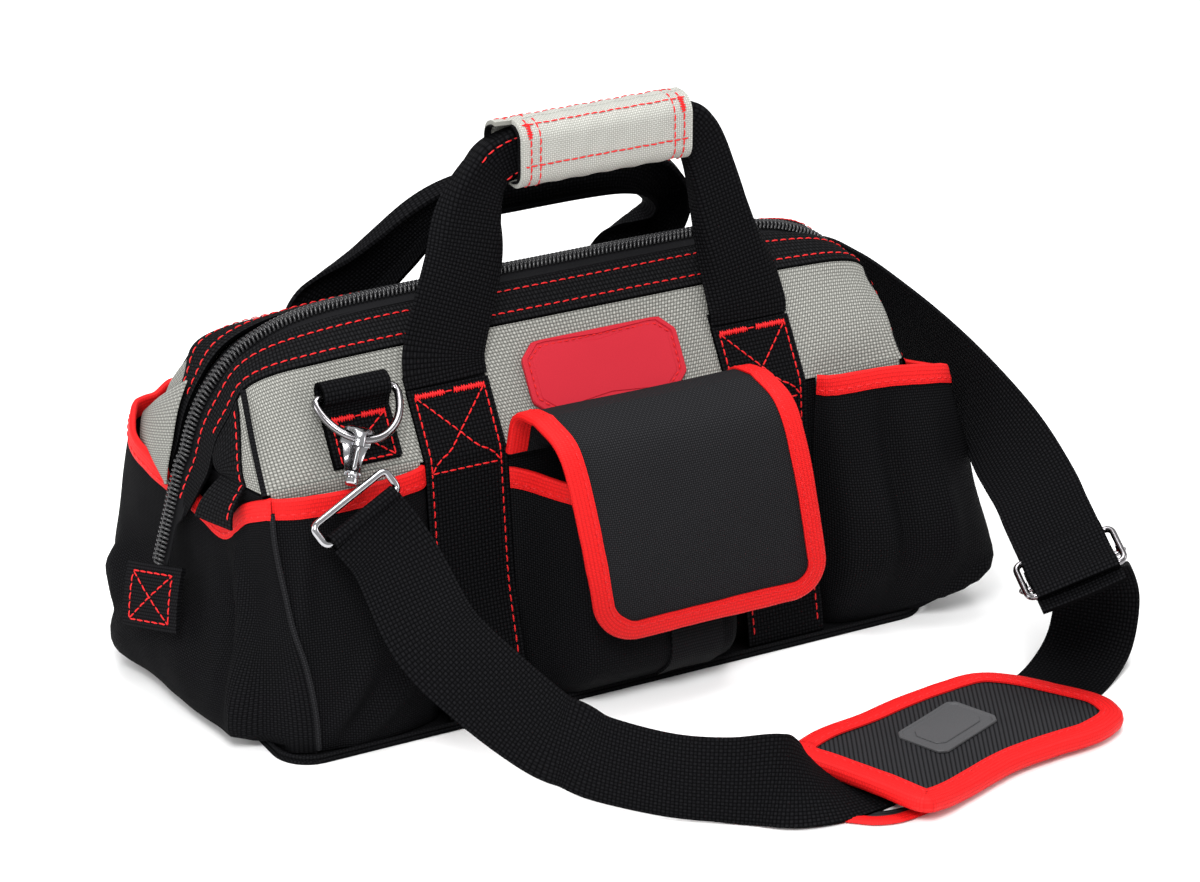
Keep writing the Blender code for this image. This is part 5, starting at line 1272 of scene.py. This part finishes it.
front_grip, back_grip = grip_half(True), grip_half(False)
slab("grip_flap_cloth", front_grip, 60, 40, 0.0024, "grey_weave", "grip_flap_body", ("grip_flap",))
grip_wrap = slab("grip_wrap_cloth", back_grip, 60, 40, 0.0024, "grey_weave", "front_handle", ("grip_wrap",))
for form, body, name in ((front_grip, "grip_flap_body", "grip_flap"), (back_grip, "front_handle", "grip_wrap")):
    sewing = Heap()
    rise = 0.0013
    for u in (0.05, 0.105, 0.895, 0.95):
        sew(sewing, *line_on(form, (u, 0.03), (u, 0.97), rise, 40), gap=0.0008)
    for v in (0.13, 0.62):
        sew(sewing, *line_on(form, (0.02, v), (0.98, v), rise, 40), gap=0.0008)
    if body == "grip_flap_body":
        for u in (0.05, 0.95):
            bartack(sewing, *line_on(form, (u, 0.12), (u, 0.26), rise, 8), width=0.0030)
    sewing.piece(name + "_stitches", "thread", body)
    lining = Heap()
    for u in (0.006, 0.994):
        line = [form(u, v) - normal_at(form, u, v) * 0.00165 for v in (mix(0.03, 0.97, k / 30) for k in range(31))]
        lining.loft(tube_rings(line, 0.0006, up=(1, 0, 0), sides=6, flat=4.0))
    lining.piece(name + "_lining", "black_weave", body)


# The pocket flap

ROOT_Y, ROOT_Z = -0.0777, 0.147
CREST_Y, CREST_Z = -0.112, 0.179
HEM_Y, HEM_Z = -0.143, 0.052
FLAP_LEFT, FLAP_RIGHT, FLAP_DRIFT, FLAP_T = -0.058, 0.088, 0.024, 0.0022
FLAP_W, CORNER_R = 0.146, 0.024
flap_crest = Vector((0, CREST_Y, CREST_Z))
flap_rise = [Vector((0, mix(ROOT_Y, CREST_Y, y), mix(ROOT_Z, CREST_Z, z)))
             for y, z in ((0.0, 0.0), (0.30, 0.80))] + [flap_crest]
flap_hang = [flap_crest] + [Vector((0, mix(CREST_Y, HEM_Y, y), mix(CREST_Z, HEM_Z, z)))
                            for y, z in ((0.66, 0.085), (0.92, 0.33), (1.0, 0.68), (0.96, 1.0))]
flap_profile = [spline(flap_rise, i / 10) for i in range(10)] + [spline(flap_hang, i / 30) for i in range(31)]
flap_reach = lengths(np.array([tuple(p) for p in flap_profile]))
FLAP_LENGTH = float(flap_reach[-1])
FLAP_ROOT = float(flap_reach[10])


def flap_at(x_share, along):
    """A point of the flap by its share across and its distance in metres from the sewn root."""
    k = float(np.interp(along, flap_reach, np.arange(len(flap_profile))))
    p = at_index(flap_profile, min(k, len(flap_profile) - 1.0001))
    drop = max(along - FLAP_ROOT, 0) / (FLAP_LENGTH - FLAP_ROOT)
    left, right = FLAP_LEFT + FLAP_DRIFT * drop, FLAP_RIGHT + FLAP_DRIFT * drop
    sag = noise.noise(Vector((x_share * 2.2 + 4.0, along * 18, 1.7))) * 0.0016 * smooth(along / 0.05)
    return Vector((mix(left, right, x_share), p.y + sag, p.z + sag * 0.3))


def flap_form(u, v):
    """The flap with its bottom corners rounded."""
    x = u * FLAP_W
    edge = min(x, FLAP_W - x)
    bottom = FLAP_LENGTH
    if edge < CORNER_R:
        bottom -= CORNER_R - math.sqrt(max(CORNER_R**2 - (CORNER_R - edge) ** 2, 0))
    return flap_at(u, v * bottom)


FLAP_BLEND = ("pocket_flap_body", Vector((0, -0.1060, 0.1760)), Vector((0, -0.1180, 0.1755)))
flap_shares = [round(0.5 - 0.5 * math.cos(math.pi * i / 48), 5) for i in range(49)]


def flap_column(u, v):
    k = u * (len(flap_shares) - 1)
    i = min(int(k), len(flap_shares) - 2)
    return flap_form(mix(flap_shares[i], flap_shares[i + 1], k - i), v)


slab("pocket_flap_cloth", flap_column, 48, 60, FLAP_T, "flap_weave", "bag_body", ("pocket_flap", "flap_root"),
     FLAP_BLEND)


def flap_outline():
    """The free edge as (share across, distance from the root, outward across, outward along)."""
    straight = FLAP_LENGTH - CORNER_R
    left = [(0.0, mix(0.002, straight, i / 40), -1, 0) for i in range(41)]
    left += [((CORNER_R - CORNER_R * math.cos(a)) / FLAP_W, straight + CORNER_R * math.sin(a), -math.cos(a),
              math.sin(a)) for a in (math.pi / 2 * i / 12 for i in range(1, 12))]
    bottom = [(mix(CORNER_R / FLAP_W, 1 - CORNER_R / FLAP_W, i / 30), FLAP_LENGTH, 0, 1) for i in range(31)]
    return left + bottom + [(1 - share, along, -x, down) for share, along, x, down in reversed(left)]


edge_points, edge_out, edge_normal = [], [], []
for share, along, out_x, out_down in flap_outline():
    ahead = (flap_at(share, min(along + 0.002, FLAP_LENGTH)) - flap_at(share, max(along - 0.002, 0))).normalized()
    edge_points.append(flap_at(share, along))
    edge_out.append(Vector((out_x, 0, 0)) + ahead * out_down)
    edge_normal.append(Vector((1, 0, 0)).cross(ahead).normalized())
way = -math.copysign(1, edge_normal[40].y)
sewing = Heap()
sew(sewing, *edge_tape("flap_tape", edge_points, edge_out, [n * way for n in edge_normal], 0.0108, "bag_body", (),
                       FLAP_BLEND, core=FLAP_T))
sewing.piece("flap_stitches", "thread", "bag_body", (), FLAP_BLEND)


def catch_form(u, v):
    """A catch web on the box pocket under the flap."""
    u, v = mix(0.52, 0.76, u), mix(0.06, 0.62, v)
    return box_form(u, v) + normal_at(box_pocket, u, v) * 0.0019


slab("catch_webbing", catch_form, 8, 24, 0.0016, "black_web", "bag_body", swap=True)


# Shoulder strap, buckle and pad

BAR_HALF, POST_HALF, BAR_RISE, BAR_WIRE, POST_WIRE = 0.0135, 0.029, 0.0036, 0.0019, 0.0017


def as_point(shares):
    return Vector((shares[0] * L, shares[1] * BASE_W, shares[2] * FOLD_Z))


def stations(run):
    return [(as_point(shares), Vector(direction)) for shares, direction in run]


def strap(name, line, steps, body, stands_for, blend):
    """The web through stations, each a middle and the direction across the web."""
    middles = [m for m, d in line]
    directions = [d.normalized() for m, d in line]

    def place(u, v):
        middle = spline(middles, v)
        ahead = spline(middles, min(v + 0.01, 1)) - spline(middles, max(v - 0.01, 0))
        side = square_to(spline(directions, v), ahead)
        lift = ahead.cross(side).normalized() * (0.0009 * math.cos(math.pi * (u - 0.5)))
        return middle + side * ((u - 0.5) * WEB_W) + lift
    slab(name, place, 10, steps, WEB_T, "strap_web", body, stands_for, blend, swap=True)


front, ground, side_shares = stations(FRONT_RUN), stations(GROUND_RUN), stations(SIDE_RUN)
low, high = as_point(SLIDE_LOW), as_point(SLIDE_HIGH)
straight = (high - low).normalized()
across = square_to(Vector(SLIDE_ACROSS), straight)
buckle_normal = straight.cross(across)
buckle_normal *= math.copysign(1, buckle_normal.z)
join = (mix(front[-1][0], ground[0][0], 0.5), front[-1][1] + ground[0][1])
under = WEB_T + BAR_RISE + BAR_WIRE * 2 + GAP * 2
left_start, right_start = LOOPS["left"][3], LOOPS["right"][3]
line = [(left_start, LOOPS["left"][2])] + front + [join] + ground
line += [(low + straight * 0.0456 - buckle_normal * under * 1.4, -across),
         (low + straight * 0.0216 - buckle_normal * under, -across)]
strap("long_strap_webbing", line, 280, "left_ring", ("strap_front_run", "strap_middle_run"),
      ("bag_body", left_start + (front[0][0] - left_start) * 0.1, join[0]))
side_line = [(mix(low, high, share), across) for share in (0.0, 0.35, 0.7, 1.0)] + side_shares
side_line.append((right_start, LOOPS["right"][2]))
strap("side_strap_webbing", side_line, 120, "right_ring", ("strap_side_run",),
      ("bag_body", right_start + (side_shares[-1][0] - right_start) * 0.1, side_shares[1][0]))


def strap_fold(bar, fall, length):
    """The web's turn round a hook loop's lower bar."""
    around, r = fall.cross(length).normalized(), LOOP_WIRE + GAP + WEB_T / 2

    def place(u, v):
        a = math.radians(mix(-160, 160, v))
        return bar + length * ((u - 0.5) * 0.0465) - fall * (math.cos(a) * r) + around * (math.sin(a) * r)
    return place


for side, (bar, fall, length, start) in LOOPS.items():
    slab(side + "_strap_fold", strap_fold(bar, fall, length), 8, 20, WEB_T * 0.9, "strap_web", side + "_ring",
         swap=True)

middle = low + straight * 0.024


def buckle_point(along, sideways, out):
    return middle + straight * along + across * sideways + buckle_normal * out


heap = Heap()
corners = [buckle_point(sx * BAR_HALF, sy * POST_HALF, BAR_RISE) for sx, sy in ((-1, -1), (-1, 1), (1, 1), (1, -1))]
heap.loft(tube_rings(rounded_corners(corners, 0.0050), BAR_WIRE, up=tuple(buckle_normal), sides=14, closed=True),
          closed=True)
post = [buckle_point(0, s * POST_HALF, o) for s, o in ((-0.97, 0.0034), (-0.97, -0.0010), (-0.90, -0.0036),
                                                      (0.90, -0.0036), (0.97, -0.0010), (0.97, 0.0034))]
heap.loft(tube_rings([spline(post, k / 50) for k in range(51)], POST_WIRE, up=tuple(straight), sides=14))
heap.piece("buckle_wire", "gunmetal", "buckle", ("slide_buckle",), sharp=80)


def buckle_cover(u, v):
    """The web's end folded round the middle post and lying over both bars."""
    along = mix(-0.0185, 0.0185, v)
    rise = BAR_RISE + BAR_WIRE + GAP * 2 + WEB_T / 2
    if abs(along) > BAR_HALF:
        rise -= 0.0016 * smooth((abs(along) - BAR_HALF) / 0.005)
    dip = 0.0012 * math.cos(math.pi * along / BAR_HALF) if abs(along) < BAR_HALF else -0.0012
    return buckle_point(along, mix(-0.0245, 0.0245, u), rise - dip)


slab("buckle_cover", buckle_cover, 8, 24, WEB_T * 0.8, "strap_web", "buckle", swap=True)


PAD = ((-98, 14), (-89, 25), (-52, 37), (-16, 46), (20, 50.5), (45, 50), (62, 37), (76, 16), (88, -5), (89, -20),
       (83, -32), (62, -40), (34, -41), (3.5, -44), (-30, -54), (-58, -63), (-70, -61), (-79, -36), (-90, -7))
PAD_X, PAD_Y, PAD_Z, PAD_HALF_T = 0.131, -0.2555, 0.0036, 0.00425
PAD_LOOP = [Vector((x / 1000, y / 1000, 0)) for x, y in PAD + PAD[:3]]


def pad_outline(angle, inset=0.0):
    """The pad's edge, with its cut end on the left, for an angle from 0 to a full turn."""
    share = (angle % math.tau) / math.tau * len(PAD)
    p = spline(PAD_LOOP, (1 + share) / (len(PAD) + 2))
    length = math.hypot(p.x, p.y)
    return p.x * (1 - inset / length), p.y * (1 - inset / length)


def pad_point(x, y, z):
    lift = 0.0045 * smooth((-x - 0.030) / 0.05)
    flat = Matrix.Rotation(0.035, 2) @ Vector((x, y))
    return Vector((PAD_X + flat.x, PAD_Y + flat.y, PAD_Z + lift + z))


def pad_body():
    rings, uvs = [], []
    around, rows = 120, 14
    for i in range(rows + 1):
        a = mix(-math.pi / 2, math.pi / 2, i / rows)
        radial, ball = math.cos(a), math.sin(a)
        ring = []
        for k in range(around):
            x, y = pad_outline(math.tau * k / around, 0.0016)
            full = min(radial * 1.05 + 0.02, 1.0)
            height = PAD_HALF_T * (1 + math.copysign(abs(ball) ** 0.75, ball))
            ring.append(pad_point(x * full, y * full, height))
            uvs.append(((x * 0.871 - y * 0.491) * full, (x * 0.491 + y * 0.871) * full))
        rings.append(ring)
    verts, faces = loft_data(rings)[:2]
    return seated(mesh_of("pad_body_cloth", verts, faces, uvs, sharp=60), "pad_ribs", "pad", ("shoulder_pad",))


PAD_STEPS = 150
pad_cloth = pad_body()
pad_edge, pad_out = [], []
for angle in (math.tau * k / PAD_STEPS for k in range(PAD_STEPS)):
    tangent = pad_point(*pad_outline(angle + 0.02), 0) - pad_point(*pad_outline(angle - 0.02), 0)
    pad_edge.append(pad_point(*pad_outline(angle), PAD_HALF_T))
    pad_out.append(Vector((0, 0, 1)).cross(tangent))
LOW_EDGE, LOW_INNER = ([pad_point(x / 1000, y / 1000, 0) for x, y in line] for line in (
    ((-104, -35), (-99, -40), (-90, -48), (-79, -52), (-67, -52), (-54, -50)),
    ((-96, -32), (-82, -40), (-68, -43), (-55, -43))))


def low_cloth(u, v):
    """The pad's lower layer, which shows beside the strap."""
    p = mix(spline(LOW_EDGE, v), spline(LOW_INNER, v), u)
    return Vector((p.x, p.y, 0.0008))


slab("pad_lower_cloth", low_cloth, 4, 24, 0.0008, "pad_ribs", "pad")
low_edge = [Vector((p.x, p.y, 0.0015)) for p in (spline(LOW_EDGE, i / 40) for i in range(41))]
tube("pad_lower_tape", "red_tape", "pad", low_edge, 0.0044, sides=10, flat=0.3)
sewing = Heap()
sew(sewing, *edge_tape("pad_tape", pad_edge, pad_out, [Vector((0, 0, 1))] * PAD_STEPS, TAPE_W, "pad",
                       ("pad_binding",), core=0.0066, closed=True))
sewing.piece("pad_stitches", "thread", "pad")
patch_frame = Matrix.Translation(pad_point(-0.0078, 0.0028, 0.0083)) @ Matrix.Rotation(0.387, 4, "Z")
plate("pad_patch", eight_sided(0.0272, 0.0170, 0.0040), patch_frame,
      ((0.0006, 0.0), (0.0, 0.0005), (0.0, 0.0014), (0.0005, 0.0019), (0.0022, 0.0019), (0.0030, 0.0013)),
      "patch_grey", "pad")
plate("pad_patch_field", eight_sided(0.0205, 0.0105, 0.0040), patch_frame,
      ((0.0006, 0.0012), (0.0, 0.0016), (0.0004, 0.0021), (0.0030, 0.0021)), "patch_grey", "pad")


# Piping up the corners
for name, form, reach in (("front_left", flat_form, 1.0), ("back_right", back_form, 0.42)):
    line = []
    for v in (mix(0.015, 0.955, i / 40) for i in range(41)):
        u = seam_share(v) * reach
        line.append(form(u, v) + normal_at(form, u, v) * 0.0018)
    tube(name + "_piping", "flap_weave", "bag_body", line, 0.0017, up=(0, 1, 0), sides=8)

crown, foot = spline(edge_line, CORNER), Vector((-L, -FOLD, FOLD_Z + 0.0012))
for name, plain, turn in (("front_left", True, False), ("front_right", False, False),
                          ("back_right", True, True), ("back_left", False, True)):
    line = []
    for i in range(21):
        bow = Vector((-0.0006, 0.0030, 0))
        if plain:
            bow = Vector((-1, -1, 0)).normalized() * (0.0012 * math.sin(math.pi * i / 20) + 0.0006)
        p = mix(foot, crown, i / 20) + bow
        line.append(sided(turn)(p if plain else mirrored(p)))
    tube(name + "_upper_piping", "black_web", "back_mouth" if turn else "front_mouth", line,
         0.0017 if plain else 0.0012, up=(0, 1, 0), sides=8)


# Finishes of the solids that stay as they are
for node_name, finish_name in (("base_board", "board"), ("front_frame_wire", "steel"), ("back_frame_wire", "steel"),
                               ("zip_slider", "gunmetal"), ("zip_pull", "gunmetal")):
    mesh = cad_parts[node_name].data
    if not mesh.uv_layers:
        mesh.uv_layers.new(name="UVMap")
    for i in range(len(mesh.materials)):
        mesh.materials[i] = FINISH[finish_name]


# Camera, floor and light
camera = bpy.data.objects.new("camera", bpy.data.cameras.new("camera"))
camera.data.sensor_width = 36.0
camera.data.lens = 125.0
camera.location = (-1.0145, -1.9542, 1.0855)
direction = Vector((0.0421, 0.0, 0.104)) - camera.location
camera.rotation_euler = direction.to_track_quat("-Z", "Y").to_euler()
bpy.context.scene.collection.objects.link(camera)
bpy.context.scene.camera = camera

floor_mesh = bpy.data.meshes.new("floor")
floor_mesh.from_pydata([(-6, -6, 0), (6, -6, 0), (6, 6, 0), (-6, 6, 0)], [], [(0, 1, 2, 3)])
floor = bpy.data.objects.new("floor", floor_mesh)
floor_paint = bpy.data.materials.new("floor_white")
floor_paint.use_nodes = True
floor_shader = floor_paint.node_tree.nodes["Principled BSDF"]
floor_shader.inputs["Base Color"].default_value = (0.97, 0.97, 0.97, 1)
floor_shader.inputs["Roughness"].default_value = 0.9
floor_mesh.materials.append(floor_paint)
bpy.context.scene.collection.objects.link(floor)

world = bpy.data.worlds.new("studio")
world.use_nodes = True
world.node_tree.nodes["Background"].inputs["Color"].default_value = (1.0, 1.0, 1.0, 1)
world.node_tree.nodes["Background"].inputs["Strength"].default_value = 0.62
bpy.context.scene.world = world


def area_light(name, place, target, size, power):
    lamp = bpy.data.objects.new(name, bpy.data.lights.new(name, "AREA"))
    lamp.data.shape = "RECTANGLE"
    lamp.data.size, lamp.data.size_y = size
    lamp.data.energy = power
    lamp.location = place
    lamp.rotation_euler = (Vector(target) - Vector(place)).to_track_quat("-Z", "Y").to_euler()
    bpy.context.scene.collection.objects.link(lamp)


for name, place, aim_z, size, power in (
        ("key", (-0.9, -1.4, 1.7), 0.12, (1.0, 0.7), 44), ("top", (0.1, 0.1, 2.0), 0.1, (1.4, 1.0), 36),
        ("side", (-1.9, 0.3, 0.9), 0.12, (0.9, 0.9), 14), ("fill", (1.7, -1.0, 0.9), 0.12, (1.0, 0.8), 9)):
    area_light(name, place, (0, 0, aim_z), size, power)
bpy.context.scene.view_settings.view_transform = "Standard"
